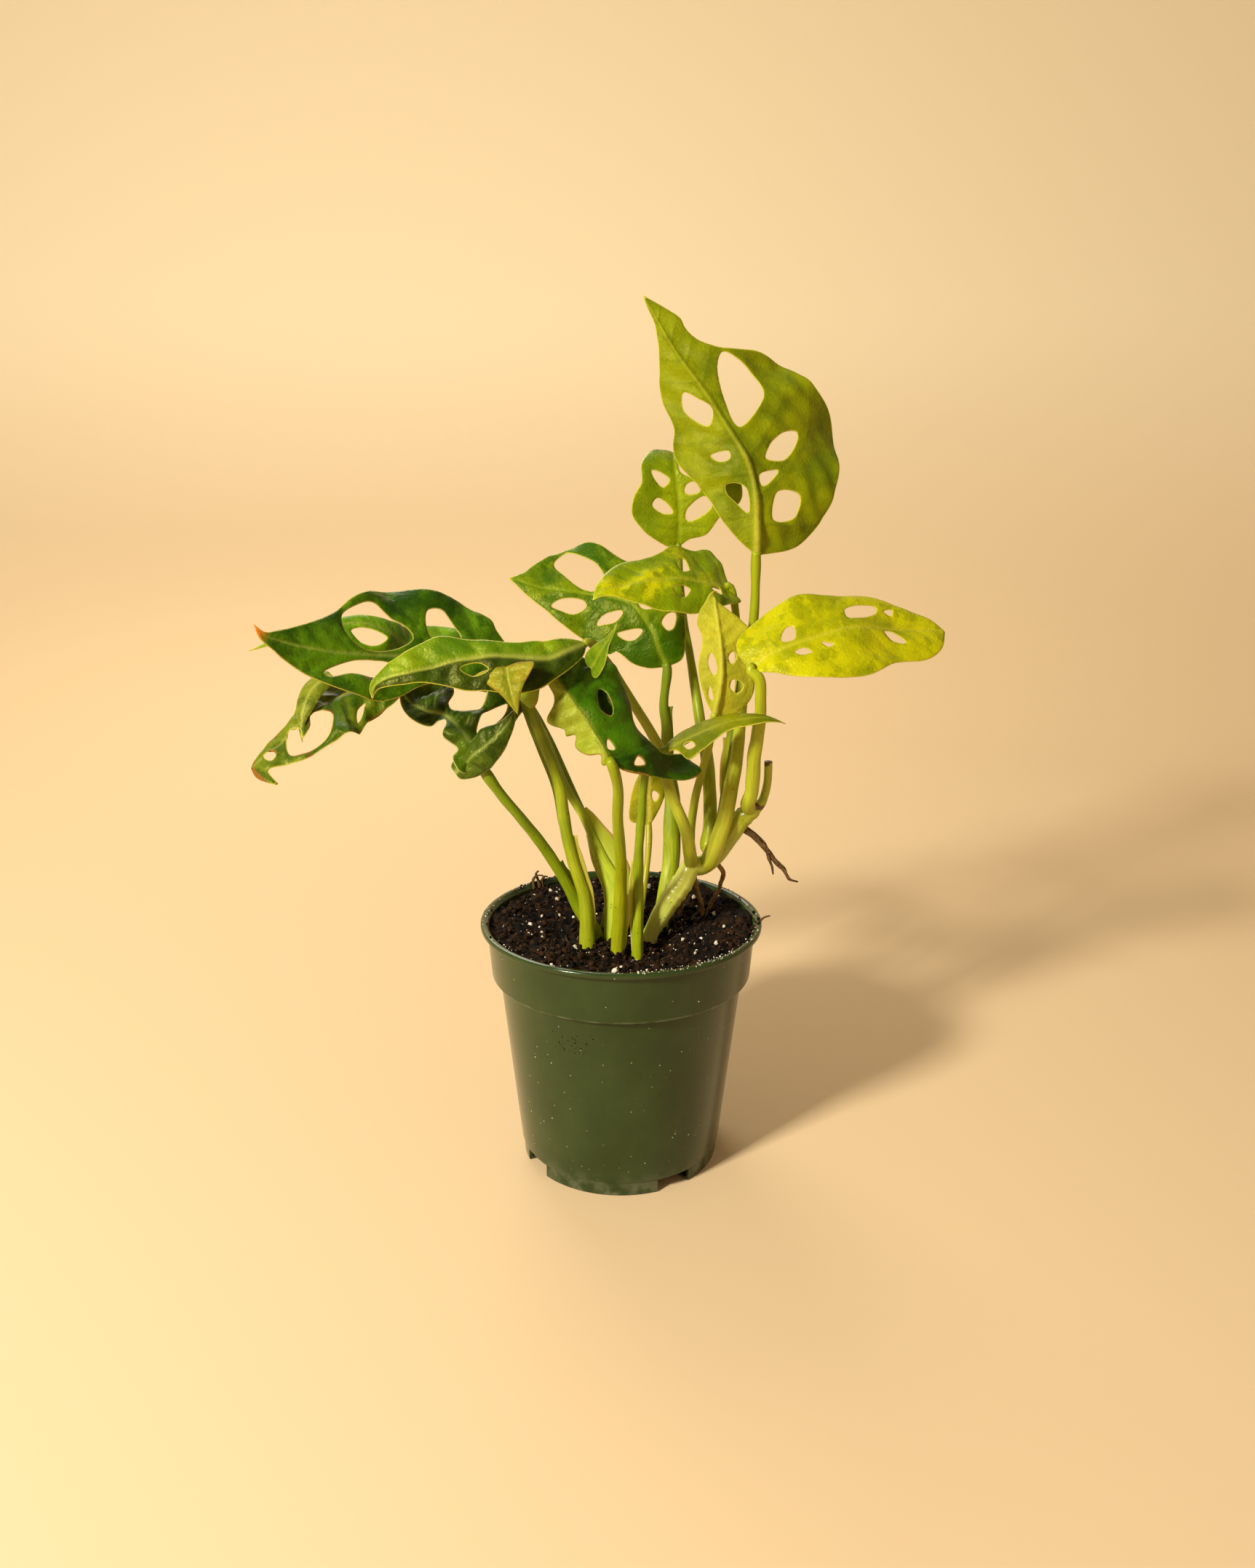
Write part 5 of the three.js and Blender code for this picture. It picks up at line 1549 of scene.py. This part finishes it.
# %% Build the roots
ROOTS = {
    "root_forked": (
        root_finish,
        [
            [43, 0, 126], [47, 0, 123], [51, -1, 119], [54, -2, 115], [58, -3, 111], [60, -4, 108],
            [63, -4, 107],
        ],
        [[0, 1.4, 1.3], [0.5, 1, 1], [0.85, 0.6, 0.6], [1, 0.25, 0.25]],
    ),
    "root_fork": (
        root_finish,
        [[52, -2.4, 117], [52.6, -3.2, 115], [53.5, -4.2, 113], [54, -4.6, 110]],
        [[0, 0.6, 0.6], [1, 0.25, 0.25]],
    ),
    "root_right": (
        thin_root_finish,
        [[35, 3, 111], [37, 5, 107], [36, 8, 100], [33, 12, 91], [32, 13, 84], [32, 13, 76]],
        [[0, 0.8, 0.8], [1, 0.6, 0.6]],
    ),
    "root_middle": (
        thin_root_finish,
        [[26, 0, 108], [28, 5, 99], [30, 9, 91], [30, 10, 84], [30, 10, 76]],
        [[0, 0.9, 0.9], [1, 0.7, 0.7]],
    ),
    "root_left": (
        thin_root_finish,
        [[23, 1, 108], [23, 6, 99], [22, 11, 91], [22, 13, 84], [22, 13, 76]],
        [[0, 1, 1], [1, 0.8, 0.8]],
    ),
}
for seed, (name, (finish, path, section)) in enumerate(ROOTS.items()):
    make_stalk(
        name + "_bark", path, section, finish, [name], step=0.6, sides=14, ridges=5,
        ridge=0.09, lumps=0.22, lump_size=2.2, seed=50 + seed,
    )
print("roots:", len(ROOTS))

# %% [markdown]
# ## The sheaths
# The wings stand on the sides of the older petioles, where the photograph shows them: a
# broad pale one with a pink edge at the back, and narrow ones beside the front petioles.
# Each row of the table gives the petiole, the finish, where the wing starts and stops as
# shares of the petiole, its turn round it in degrees, its height and its free tip's lift.

# %% Build the sheaths
pale_sheath = sheath_material("pale_sheath", "a2ae20", "c4926a", share=0.22)
green_sheath = sheath_material("green_sheath", "64780a", "3c5206", share=0.4)
cream_sheath = sheath_material("cream_sheath", "b8b02c", "d0be78", share=0.3)
SHEATHS = {
    "torn_sheath": ("torn", pale_sheath, 0.04, 0.42, 8, 5.6, 0.6),
    "torn_sheath_left": ("torn", pale_sheath, 0.08, 0.36, 165, 0.9, 0.4),
    "far_left_wing": ("far_left", green_sheath, 0.45, 0.9, 175, 1.2, 0.4),
    "far_left_sheath": ("far_left", cream_sheath, 0.14, 0.42, 0, 1.6, 1.2),
    "crumpled_sheath": ("crumpled", green_sheath, 0.2, 0.5, 20, 1.3, 1.0),
    "sliver_sheath": ("sliver", cream_sheath, 0.15, 0.52, 185, 1.5, 0.9),
    "dark_sheath": ("dark", cream_sheath, 0.15, 0.4, 10, 1.1, 0.4),
    "mid_left_sheath": ("mid_left", green_sheath, 0.3, 0.86, 0, 1.0, 1.6),
    "crown_sheath": ("crown", green_sheath, 0.1, 0.68, 150, 0.9, 1.4),
    "centre_top_sheath": ("centre_top", cream_sheath, 0.02, 0.4, 180, 1.3, 1.2),
}
for seed, (name, (petiole, finish, start, stop, turn, height, tip)) in enumerate(SHEATHS.items()):
    section = LEAVES[petiole]["section"]
    make_sheath(name, petiole_path(petiole), section, finish, start, stop, turn, height, tip, seed=seed)
print("sheaths:", len(SHEATHS))

# %% [markdown]
# ## The pot
# The nursery pot is thin moulded plastic: a tapered wall, a stepped collar, a rolled lip,
# and four drain notches at the foot. Its wall is a profile turned round the middle, with
# every corner rounded a little, because a sharp edge never catches the light as real
# plastic does.

# %% Turn the pot
POT_SIDES = 192
LIP_RADIUS = 50.8
POT_HEIGHT = 91.9
FOOT_RADIUS = 36.3
WALL = 1.0
POT_CORNERS = [
    (FOOT_RADIUS - 4, 0.0, 0.2), (FOOT_RADIUS, 0.0, 0.7), (FOOT_RADIUS, 5.2, 0.15), (37.1, 5.9, 0.3),
    (44.2, 71.5, 0.35), (47.0, 72.3, 0.5), (48.4, 89.4, 0.4), (LIP_RADIUS, 89.9, 0.6),
    (LIP_RADIUS, 91.7, 0.7), (49.0, POT_HEIGHT, 0.7), (47.6, 90.6, 0.6), (46.0, 73.4, 0.5),
    (43.2, 71.9, 0.4), (FOOT_RADIUS - WALL, 5.6, 0.5), (FOOT_RADIUS - WALL, 1.2, 0.6),
]
CORNER_SHARE = 0.45


def rounded(corners, steps=5):
    """A closed profile with each corner (r, z, radius) turned into a small curve."""
    out = []
    for before, here, after in zip(corners[-1:] + corners, corners, corners[1:] + corners[:1]):
        here_at = np.array(here[:2])
        back, on = (np.array(p[:2]) - here_at for p in (before, after))
        near = [w / np.linalg.norm(w) * min(here[2], CORNER_SHARE * np.linalg.norm(w)) for w in (back, on)]
        for t in np.linspace(0, 1, steps):
            out.append(here_at + near[0] * (1 - t) ** 2 + near[1] * t**2)
    return np.array(out)


def turned(profile, count):
    """Points and faces of a profile turned round the middle, closed at both ends."""
    angle = np.arange(count) / count * 2 * math.pi
    points = [(r * math.cos(a), r * math.sin(a), z) for r, z in profile for a in angle]
    faces = wrapped(len(profile), count)
    points += [(0, 0, profile[0][1]), (0, 0, profile[-1][1])]
    low, high, last = len(points) - 2, len(points) - 1, (len(profile) - 1) * count
    faces += [[low, (k + 1) % count, k] for k in range(count)]
    faces += [[high, last + k, last + (k + 1) % count] for k in range(count)]
    return points, faces


pot_profile = rounded(POT_CORNERS)
pot_points, pot_faces = turned(pot_profile, POT_SIDES)
print("pot profile:", len(pot_profile), "points")

# %% [markdown]
# ## Pot plastic
# Dark green plastic with a soft gloss. It is never quite clean: soil dust lies in a film
# that is thicker under the collar and near the foot, fine scratches run round it, and the
# surface has a faint waviness from the mould that bends its reflections.

# %% Pot finish
LEDGE = 0.0722
FOOT_DUST, LEDGE_DUST = 0.22, 0.3
pot_finish, tree, shader = new_material(
    "pot_plastic", Specular_IOR_Level=0.3, Coat_Weight=0.14, Coat_Roughness=0.05
)
where = place_scaled(tree, 1, 1, 1)
up = add(tree, "SeparateXYZ", {0: where}).outputs[2]
film = cloudy(tree, where, scale=38, detail=5, roughness=0.65)
base = mixed(tree, ranged(tree, film, 0.3, 0.75), colour("243311"), colour("2e3e18"))
low_dust = maths(tree, "MULTIPLY", ranged(tree, up, 0.0, 0.012, 1.0, 0.0), FOOT_DUST)
off_ledge = maths(tree, "ABSOLUTE", maths(tree, "SUBTRACT", up, LEDGE))
ledge_dust = maths(tree, "MULTIPLY", ranged(tree, off_ledge, 0.0, 0.0012, 1.0, 0.0), LEDGE_DUST)
dust = maths(tree, "MAXIMUM", low_dust, ledge_dust)
dust = maths(tree, "MULTIPLY", dust, ranged(tree, cloudy(tree, where, scale=160, detail=4), 0.4, 0.65))
base = mixed(tree, dust, base, colour("96967c"))
bright = use_group(tree, specks_group, Scale=520.0, Size=0.12, Share=0.06)["Mask"]
base = mixed(tree, maths(tree, "MULTIPLY", bright, 0.5), base, colour("b9b59b"))
dirt = use_group(tree, specks_group, Scale=300.0, Size=0.14, Share=0.05)["Mask"]
base = mixed(tree, maths(tree, "MULTIPLY", dirt, 0.8), base, colour("2a2117"))
round_scratch = cloudy(tree, place_scaled(tree, 30, 30, 900), scale=1.0, detail=4, roughness=0.7)
rough = maths(tree, "ADD", ranged(tree, film, 0.3, 0.7, 0.17, 0.24), maths(tree, "MULTIPLY", dust, 0.5))
rough = maths(tree, "ADD", rough, ranged(tree, round_scratch, 0.55, 0.8, 0.0, 0.1))
mould = cloudy(tree, where, scale=26, detail=2)
height = maths(tree, "ADD", mould, maths(tree, "MULTIPLY", round_scratch, 0.03))
dress(tree, shader, base, rough, height, depth=0.0003)
print("finish:", pot_finish.name)

# %% [markdown]
# ## Cut the drain notches
# The notches are cut with Boolean modifiers, which are then applied, so that the pot is
# again one plain mesh. Flat edges stay crisp, because only gentle angles are smoothed.

# %% Cut the drain notches
NOTCHES = 4
NOTCH_ANGLE, NOTCH_START, NOTCH_HEIGHT = 21, 22, 4.8
NOTCH_INNER, NOTCH_OUTER, NOTCH_STEPS = 30, 44, 6
SHARP_ANGLE = 35


def apply_modifiers(piece):
    """Replaces a piece's mesh by what its modifiers make of it."""
    made = bpy.data.meshes.new_from_object(piece.evaluated_get(bpy.context.evaluated_depsgraph_get()))
    piece.modifiers.clear()
    piece.data = made


pot = make_piece("nursery_pot", pot_points, pot_faces, pot_finish, ["pot"])
for n in range(NOTCHES):
    first = NOTCH_START + 360 / NOTCHES * n - 90
    arc = [math.radians(first + NOTCH_ANGLE * s / NOTCH_STEPS) for s in range(NOTCH_STEPS + 1)]
    ring = [(NOTCH_OUTER * math.cos(a), NOTCH_OUTER * math.sin(a)) for a in arc]
    ring += [(NOTCH_INNER * math.cos(a), NOTCH_INNER * math.sin(a)) for a in arc[::-1]]
    block = [(x, y, z) for z in (-1, NOTCH_HEIGHT) for x, y in ring]
    m = len(ring)
    faces = [list(range(m))[::-1], [k + m for k in range(m)], *wrapped(2, m)]
    mesh = bpy.data.meshes.new("notch")
    mesh.from_pydata((np.array(block) * MM).tolist(), [], faces)
    cutter = bpy.data.objects.new("notch", mesh)
    bpy.context.scene.collection.objects.link(cutter)
    cut = pot.modifiers.new("notch", "BOOLEAN")
    cut.operation, cut.object, cut.solver = "DIFFERENCE", cutter, "EXACT"
    bpy.context.view_layer.update()
    apply_modifiers(pot)
    bpy.data.objects.remove(cutter)
pot.data.shade_smooth()
pot.data.set_sharp_from_angle(angle=math.radians(SHARP_ANGLE))
print("pot:", len(pot.data.polygons), "faces")

# %% [markdown]
# ## The soil
# Potting mix is crumbs of dark bark and peat with white perlite. Its surface is a fine
# sheet raised by a low mound, by clods and by crumbs, and loose grains lie on it. The
# height is one function of place, so that every grain sits on the surface.

# %% Soil height and surface
SOIL_RADIUS = 47.3
SOIL_FLOOR = 6.0
SOIL_STEP = 0.6
SOIL_SIDES = 480
SOIL_SIDE = ((46.9, 80.0), (46.6, 74.4), (43.5, 72.2), (35.7, SOIL_FLOOR))
EDGE_START, EDGE_END, EDGE_SHIFT = 14, 44, 6
EDGE_RISE, EDGE_CALM = 5.6, 0.7
SLOPE_START, SLOPE_END, SLOPE_RISE = 8, 40, 2.2
CLOD_HEIGHT, CRUMB_HEIGHT, SMALL_HEIGHT = 1.5, 1.9, 0.8
CLOD_SIZE, CRUMB_SIZE, SMALL_SIZE = 8, 2.6, 1.2


def ease(low, high, value):
    """A smooth step from 0 at low to 1 at high."""
    t = min(max((value - low) / (high - low), 0), 1)
    return t * t * (3 - 2 * t)


def soil_height(x, y):
    """The packed soil's height, with clods and crumbs added."""
    edge = ease(EDGE_START, EDGE_END, math.hypot(x, y + EDGE_SHIFT))
    gentle = math.sin(0.13 * x + 0.8) * math.cos(0.12 * y - 0.4)
    gentle += SLOPE_RISE * ease(SLOPE_START, SLOPE_END, x + 0.5 * y)
    clods = CLOD_HEIGHT * noise.fractal(Vector((x, y, 0)) / CLOD_SIZE, 0.9, 2.1, 3)
    crumb = noise.voronoi(Vector((x, y, 3)) / CRUMB_SIZE)[0][0]
    small = noise.voronoi(Vector((x, y, 9)) / SMALL_SIZE)[0][0]
    level = SOIL_LEVEL + gentle * (1 - EDGE_CALM * edge) + EDGE_RISE * edge
    return level + clods + CRUMB_HEIGHT * (0.5 - crumb) + SMALL_HEIGHT * (0.5 - small)


angles = np.linspace(0, 2 * math.pi, SOIL_SIDES, False)
ring = [(SOIL_RADIUS * math.cos(a), SOIL_RADIUS * math.sin(a)) for a in angles]
spots = [
    (x + SOIL_STEP / 2 * (i % 2), y)
    for i, y in enumerate(np.arange(-SOIL_RADIUS, SOIL_RADIUS, SOIL_STEP * ROW_SHARE))
    for x in np.arange(-SOIL_RADIUS, SOIL_RADIUS, SOIL_STEP)
    if math.hypot(x + SOIL_STEP / 2 * (i % 2), y) < SOIL_RADIUS - SOIL_STEP / 2
]
rim_edges = [(i, (i + 1) % len(ring)) for i in range(len(ring))]
out = geometry.delaunay_2d_cdt([Vector(p) for p in ring + spots], rim_edges, [], 1, 1e-5)
soil_points = [(p.x, p.y, soil_height(p.x, p.y)) for p in out[0]]
soil_faces = [list(f) for f in out[2]]
walls = open_edges(np.array(soil_faces))
line = [a for a, b in walls]
for radius, z in SOIL_SIDE:
    below = {a: len(soil_points) + i for i, a in enumerate(line)}
    flat = [np.array(soil_points[a][:2]) for a in line]
    soil_points += [(*(spot * radius / math.hypot(*spot)), z) for spot in flat]
    soil_faces += [[a, below[a], below[b], b] for a, b in walls]
    walls = [(below[a], below[b]) for a, b in walls]
    line = [below[a] for a in line]
soil_points.append((0, 0, SOIL_FLOOR))
soil_faces += [[a, len(soil_points) - 1, b] for a, b in walls]
print("soil surface:", len(soil_faces), "faces")

# %% [markdown]
# ## Soil finishes
# Damp peat is nearly black and the bark crumbs are red-brown, so the colour changes from
# crumb to crumb. Perlite is white, with a little tan where it is stained.

# %% Soil, grain and perlite finishes
soil_finish, tree, shader = new_material("potting_mix", Specular_IOR_Level=0.1)
where = place_scaled(tree, 1, 1, 1)
crumbs = add(tree, "TexVoronoi", {"Vector": where, "Scale": 520.0})
tone = add(tree, "SeparateColor", {0: crumbs.outputs["Color"]}).outputs[0]
base = mixed(tree, ranged(tree, tone, 0.2, 0.95), colour("060301"), colour("301e0d"))
base = mixed(tree, ranged(tree, cloudy(tree, where, scale=120), 0.45, 0.7), base, colour("0f0b08"))
white = use_group(tree, specks_group, Scale=800.0, Size=0.3, Share=0.035)["Mask"]
base = mixed(tree, maths(tree, "MULTIPLY", white, 0.7), base, colour("b8a888"))
grit = cloudy(tree, where, scale=1400, detail=3)
dress(tree, shader, base, ranged(tree, tone, 0, 1, 0.75, 0.98), grit, depth=0.0006)
make_piece("soil_bed", soil_points, soil_faces, soil_finish, ["soil"])


def grain_material(name, dark, light, rough=0.9):
    """A finish whose colour changes from grain to grain."""
    material, tree, shader = new_material(name, Specular_IOR_Level=0.12)
    where = place_scaled(tree, 1, 1, 1)
    base = mixed(tree, mark(tree, "tone"), colour(dark), colour(light))
    fine = cloudy(tree, where, scale=1500, detail=3)
    base = mixed(tree, ranged(tree, fine, 0.4, 0.7, 0.0, 0.5), base, colour(dark))
    dress(tree, shader, base, ranged(tree, fine, 0.3, 0.7, rough - 0.1, rough), fine, depth=0.0004)
    return material


crumb_finish = grain_material("bark_crumbs", "080502", "3a2411")
perlite_finish = grain_material("perlite", "b3a58a", "efe8d6", 0.85)
dust_finish = grain_material("perlite_dust", "a8a48c", "e6e0c8", 0.8)
print("finishes:", crumb_finish.name, perlite_finish.name, dust_finish.name)

# %% [markdown]
# ## Loose grains
# Crumbs and perlite are lumps: a round ball of triangles, squashed at random and dented by
# the same unevenness as the leaves. Hundreds are placed by a seeded draw and joined in one
# piece, which keeps the number of objects small. Where a stem enters the soil, a ring of
# crumbs leans on its foot.

# %% Scatter grains
DENTS, DENT_SIZE = 0.22, 0.9
GRAIN_SQUASH = 0.6
CRUMBS, PERLITE = 1100, 300
SPREAD = 45.2
FOOT_CRUMBS = 16
FOOT_NEAR, FOOT_FAR, FOOT_RISE = 2.6, 5.0, 0.5

ball = bmesh.new()
bmesh.ops.create_icosphere(ball, subdivisions=2, radius=1)
BALL_POINTS = np.array([v.co[:] for v in ball.verts])
BALL_FACES = np.array([[v.index for v in f.verts] for f in ball.faces])
ball.free()


def scatter(name, spots, sizes, finish, seed, flat=0.6):
    """One piece of many dented lumps, each of its own size, tone and turn."""
    chance = np.random.default_rng(seed)
    points, faces, tones = [], [], []
    for i, (spot, size) in enumerate(zip(spots, sizes)):
        stretch = chance.uniform(flat, 1.0, 3) * size / 2
        dented = BALL_POINTS * (1 + DENTS * wobble(BALL_POINTS, DENT_SIZE, seed + i))[:, None] * stretch
        turn = np.array(Matrix.Rotation(chance.uniform(0, 6.28), 3, Vector(chance.normal(size=3))))
        points.append(dented @ turn.T + spot)
        faces.append(BALL_FACES + i * len(BALL_POINTS))
        tones.append(np.full(len(BALL_POINTS), chance.uniform()))
    marks = {"tone": np.concatenate(tones)}
    make_piece(name, np.vstack(points), np.vstack(faces).tolist(), finish, (), marks)
    print(name + ":", len(sizes), "grains")


def on_soil(count, sizes, seed, sink=0.15):
    """Random places on the soil for grains of these sizes."""
    chance = np.random.default_rng(seed)
    reach = SPREAD * np.sqrt(chance.uniform(0, 1, count))
    angle = chance.uniform(0, 2 * math.pi, count)
    x, y = reach * np.cos(angle), reach * np.sin(angle)
    return [(a, b, soil_height(a, b) + (0.5 - sink) * s * GRAIN_SQUASH) for a, b, s in zip(x, y, sizes)]


chance = np.random.default_rng(7)
sizes = 0.7 + 2.3 * chance.uniform(0, 1, CRUMBS) ** 2
scatter("soil_crumbs", on_soil(CRUMBS, sizes, 11), sizes, crumb_finish, 100, 0.45)
starts = [spec["petiole"][0] for spec in LEAVES.values()]
feet = [start for start in starts if start[2] == SOIL_LEVEL]
spots = []
for x, y, z in [*feet, VINE[0]]:
    for angle in chance.uniform(0, 2 * math.pi, FOOT_CRUMBS):
        reach = chance.uniform(FOOT_NEAR, FOOT_FAR)
        a, b = x + reach * math.cos(angle), y + reach * math.sin(angle)
        spots.append((a, b, soil_height(a, b) + FOOT_RISE))
scatter("foot_crumbs", spots, chance.uniform(0.9, 2.6, len(spots)), crumb_finish, 1500, 0.45)
sizes = 0.35 + 2.0 * chance.uniform(0, 1, PERLITE) ** 5
scatter("perlite_grains", on_soil(PERLITE, sizes, 12, 0.3), sizes, perlite_finish, 2000, 0.75)

# %% [markdown]
# ## Soil on the pot
# Potting leaves crumbs and perlite dust on the lip and the wall. They are placed by angle
# and height on the pot's own profile. A patch of dirt sits on the wall on the left under
# the collar, and dust and crumbs are thickest along the right and the back of the lip.

# %% Dust and crumbs on the pot
WALL_HEIGHTS = [height for radius, height, corner in POT_CORNERS[3:8]]
WALL_RADII = [radius for radius, height, corner in POT_CORNERS[3:8]]


def wall_radius(z):
    """The pot's outside radius at a height."""
    return float(np.interp(z, WALL_HEIGHTS, WALL_RADII))


def on_wall(count, seed, middle, spread, low, high, outward):
    """Places on the pot's outside round a middle angle, in degrees from the front."""
    chance = np.random.default_rng(seed)
    angle = np.radians(chance.normal(middle, spread, count) - 90)
    z = chance.uniform(low, high, count)
    return [
        ((wall_radius(h) + outward) * math.cos(a), (wall_radius(h) + outward) * math.sin(a), h)
        for a, h in zip(angle, z)
    ]


def on_lip(groups, low, high, rise):
    """Places on the lip. Each group is (middle, spread, count), or (None, None, count) all round."""
    angles = [
        chance.uniform(0, 360, count) if middle is None else chance.normal(middle, spread, count)
        for middle, spread, count in groups
    ]
    angles = np.radians(np.concatenate(angles))
    reach = chance.uniform(low, high, len(angles))
    return [(r * math.sin(a), -r * math.cos(a), POT_HEIGHT + rise) for a, r in zip(angles, reach)]


spots = on_wall(110, 22, 0, 80, 7, 89, 0.02)
sizes = 0.14 + 0.34 * chance.uniform(0, 1, len(spots)) ** 2
scatter("wall_dust", spots, sizes, dust_finish, 3000, 0.8)
spots = on_wall(40, 21, -23, 5, 58, 65, 0.0)
scatter("wall_dirt", spots, chance.uniform(0.25, 0.7, len(spots)), crumb_finish, 3500, 0.5)
spots = on_lip([(35, 22, 70), (None, None, 110)], 48.0, 50.6, 0.05)
sizes = 0.2 + 0.5 * chance.uniform(0, 1, len(spots)) ** 2
scatter("lip_dust", spots, sizes, dust_finish, 4000, 0.7)
spots = on_lip([(-135, 12, 16), (70, 14, 14), (None, None, 26)], 47.4, 49.8, 0.1)
scatter("lip_crumbs", spots, chance.uniform(0.5, 1.5, len(spots)), crumb_finish, 5000)

# %% [markdown]
# ## Twigs and fibres
# A few bits of bark fibre lie in the mix. A thin twig leans over the lip on the right, a
# dark one stands behind the petioles, and a tuft of debris sits on the lip at the back.

# %% Twigs and fibres in the soil
TWIGS = {
    "lip_twig": [[47.5, -4, 84.5], [48.6, -4, 88], [50.7, -4, 92.6], [52, -4.2, 93.6], [53.5, -4.5, 94.2]],
    "dark_twig": [[-3, 44, 84], [-2.6, 44, 90], [-3, 44, 96], [-2.8, 44, 100]],
    "tuft_twig_a": [[-34, 33, 90], [-34.5, 33, 93.2], [-33, 33.5, 95.2], [-30.6, 34, 95]],
    "tuft_twig_b": [[-32, 34, 90], [-32.6, 34, 93], [-33.4, 34, 96], [-32.4, 34, 97]],
    "tuft_twig_c": [[-31, 35, 90], [-31, 35, 93], [-30, 35, 94.4], [-29, 35.5, 94]],
}
TWIG_SECTION = [[0, 0.7, 0.7], [0.6, 0.5, 0.5], [1, 0.25, 0.25]]
FIBRES = 26
FIBRE_SPREAD, FIBRE_RISE = 29, 0.35
FIBRE_BENDS = np.array([0, 0.3, 0.8, 1.2])
FIBRE_SECTION = [[0, 0.16, 0.16], [0.5, 0.3, 0.3], [1, 0.12, 0.12]]
for seed, (name, path) in enumerate(TWIGS.items()):
    make_stalk(
        name, path, TWIG_SECTION, root_finish, (), step=0.5, sides=10, ridges=3, ridge=0.08,
        lumps=0.25, lump_size=1.6, seed=70 + seed,
    )
chance = np.random.default_rng(31)
for n in range(FIBRES):
    x, y = chance.uniform(-FIBRE_SPREAD, FIBRE_SPREAD, 2)
    heading = chance.uniform(0, 2 * math.pi) + FIBRE_BENDS * chance.uniform(-1, 1)
    steps = chance.uniform(1.0, 2.6)
    xs = x + np.cumsum(np.cos(heading)) * steps
    ys = y + np.cumsum(np.sin(heading)) * steps
    path = [[a, b, soil_height(a, b) + FIBRE_RISE] for a, b in zip(xs, ys)]
    make_stalk(
        f"fibre_{n:02d}", path, FIBRE_SECTION, root_finish, (),
        step=0.6, sides=6, ridges=2, lumps=0.2, lump_size=1.5, seed=90 + n,
    )
print("twigs:", len(TWIGS), "and fibres:", FIBRES)

# %% [markdown]
# ## Floor and light
# The floor is plain and pale, and curves up far behind the plant so that no horizon shows.
# Its colour turns lighter up the curve, painted light that makes the backdrop brighter.
# A small bright key light stands on the left in front and throws the shadow, and a wide
# weak one fills from the right. One from above and behind shines through the thin leaves,
# and the last one faces away from the plant and brightens the backdrop.

# %% Floor and light
FLOOR_RADIUS, CURVE_RADIUS = 700, 1500
FLOOR_SIDES = 96
WALL_TOP = (2210, 1800)
WARM, PALE, SKY = (1.0, 0.97, 0.88), (1.0, 0.97, 0.92), (1.0, 0.94, 0.84, 1)
SKY_STRENGTH = 0.27
floor_finish, tree, shader = new_material("floor", Roughness=0.9, Specular_IOR_Level=0.1)
up = add(tree, "SeparateXYZ", {0: place_scaled(tree, 1, 1, 1)}).outputs[2]
# painted light: the colour turns lighter up the curve, so the backdrop reads brighter than the floor
painted_backdrop_light = mixed(tree, ranged(tree, up, 0.02, 0.5), colour("d8bc92"), colour("ecd7b0"))
tree.links.new(painted_backdrop_light, shader.inputs["Base Color"])
sweep = [(FLOOR_RADIUS, 0)]
for a in np.linspace(0.03, 1.4, 24):
    sweep.append((FLOOR_RADIUS + CURVE_RADIUS * math.sin(a), CURVE_RADIUS - CURVE_RADIUS * math.cos(a)))
sweep.append(WALL_TOP)
angle = np.linspace(0, 2 * math.pi, FLOOR_SIDES, endpoint=False)
points = [(r * math.cos(a), r * math.sin(a), z) for r, z in sweep for a in angle]
faces = [list(range(FLOOR_SIDES)), *wrapped(len(sweep), FLOOR_SIDES, inward=True)]
mesh = bpy.data.meshes.new("floor")
mesh.from_pydata((np.array(points) * MM).tolist(), [], faces)
mesh.shade_smooth()
mesh.materials.append(floor_finish)
floor = bpy.data.objects.new("floor", mesh)
bpy.context.scene.collection.objects.link(floor)


def area_light(name, place, power, size, tint, target=(0, 0, 0.15)):
    """A square soft light aimed at the middle of the plant, or at another target, in metres."""
    light = bpy.data.lights.new(name, "AREA")
    light.energy, light.size, light.color = power, size, tint
    lamp = bpy.data.objects.new(name, light)
    lamp.location = place
    lamp.rotation_euler = (Vector(target) - Vector(place)).to_track_quat("-Z", "Y").to_euler()
    lamp.visible_camera = False
    bpy.context.scene.collection.objects.link(lamp)


area_light("key", (-0.7, -0.75, 0.72), power=23, size=0.16, tint=WARM)
area_light("fill", (0.85, -0.5, 0.5), power=0.45, size=0.8, tint=PALE)
area_light("back", (-0.3, 0.75, 0.8), power=3.5, size=0.5, tint=WARM)
area_light("backdrop", (-0.25, 0.7, 1.25), power=11.8, size=0.8, tint=WARM, target=(-0.25, 2.0, 0.4))
world = bpy.data.worlds.new("studio")
world.use_nodes = True
sky = world.node_tree.nodes["Background"]
sky.inputs["Color"].default_value = SKY
sky.inputs["Strength"].default_value = SKY_STRENGTH
bpy.context.scene.world = world
bpy.context.scene.view_settings.view_transform = "Standard"
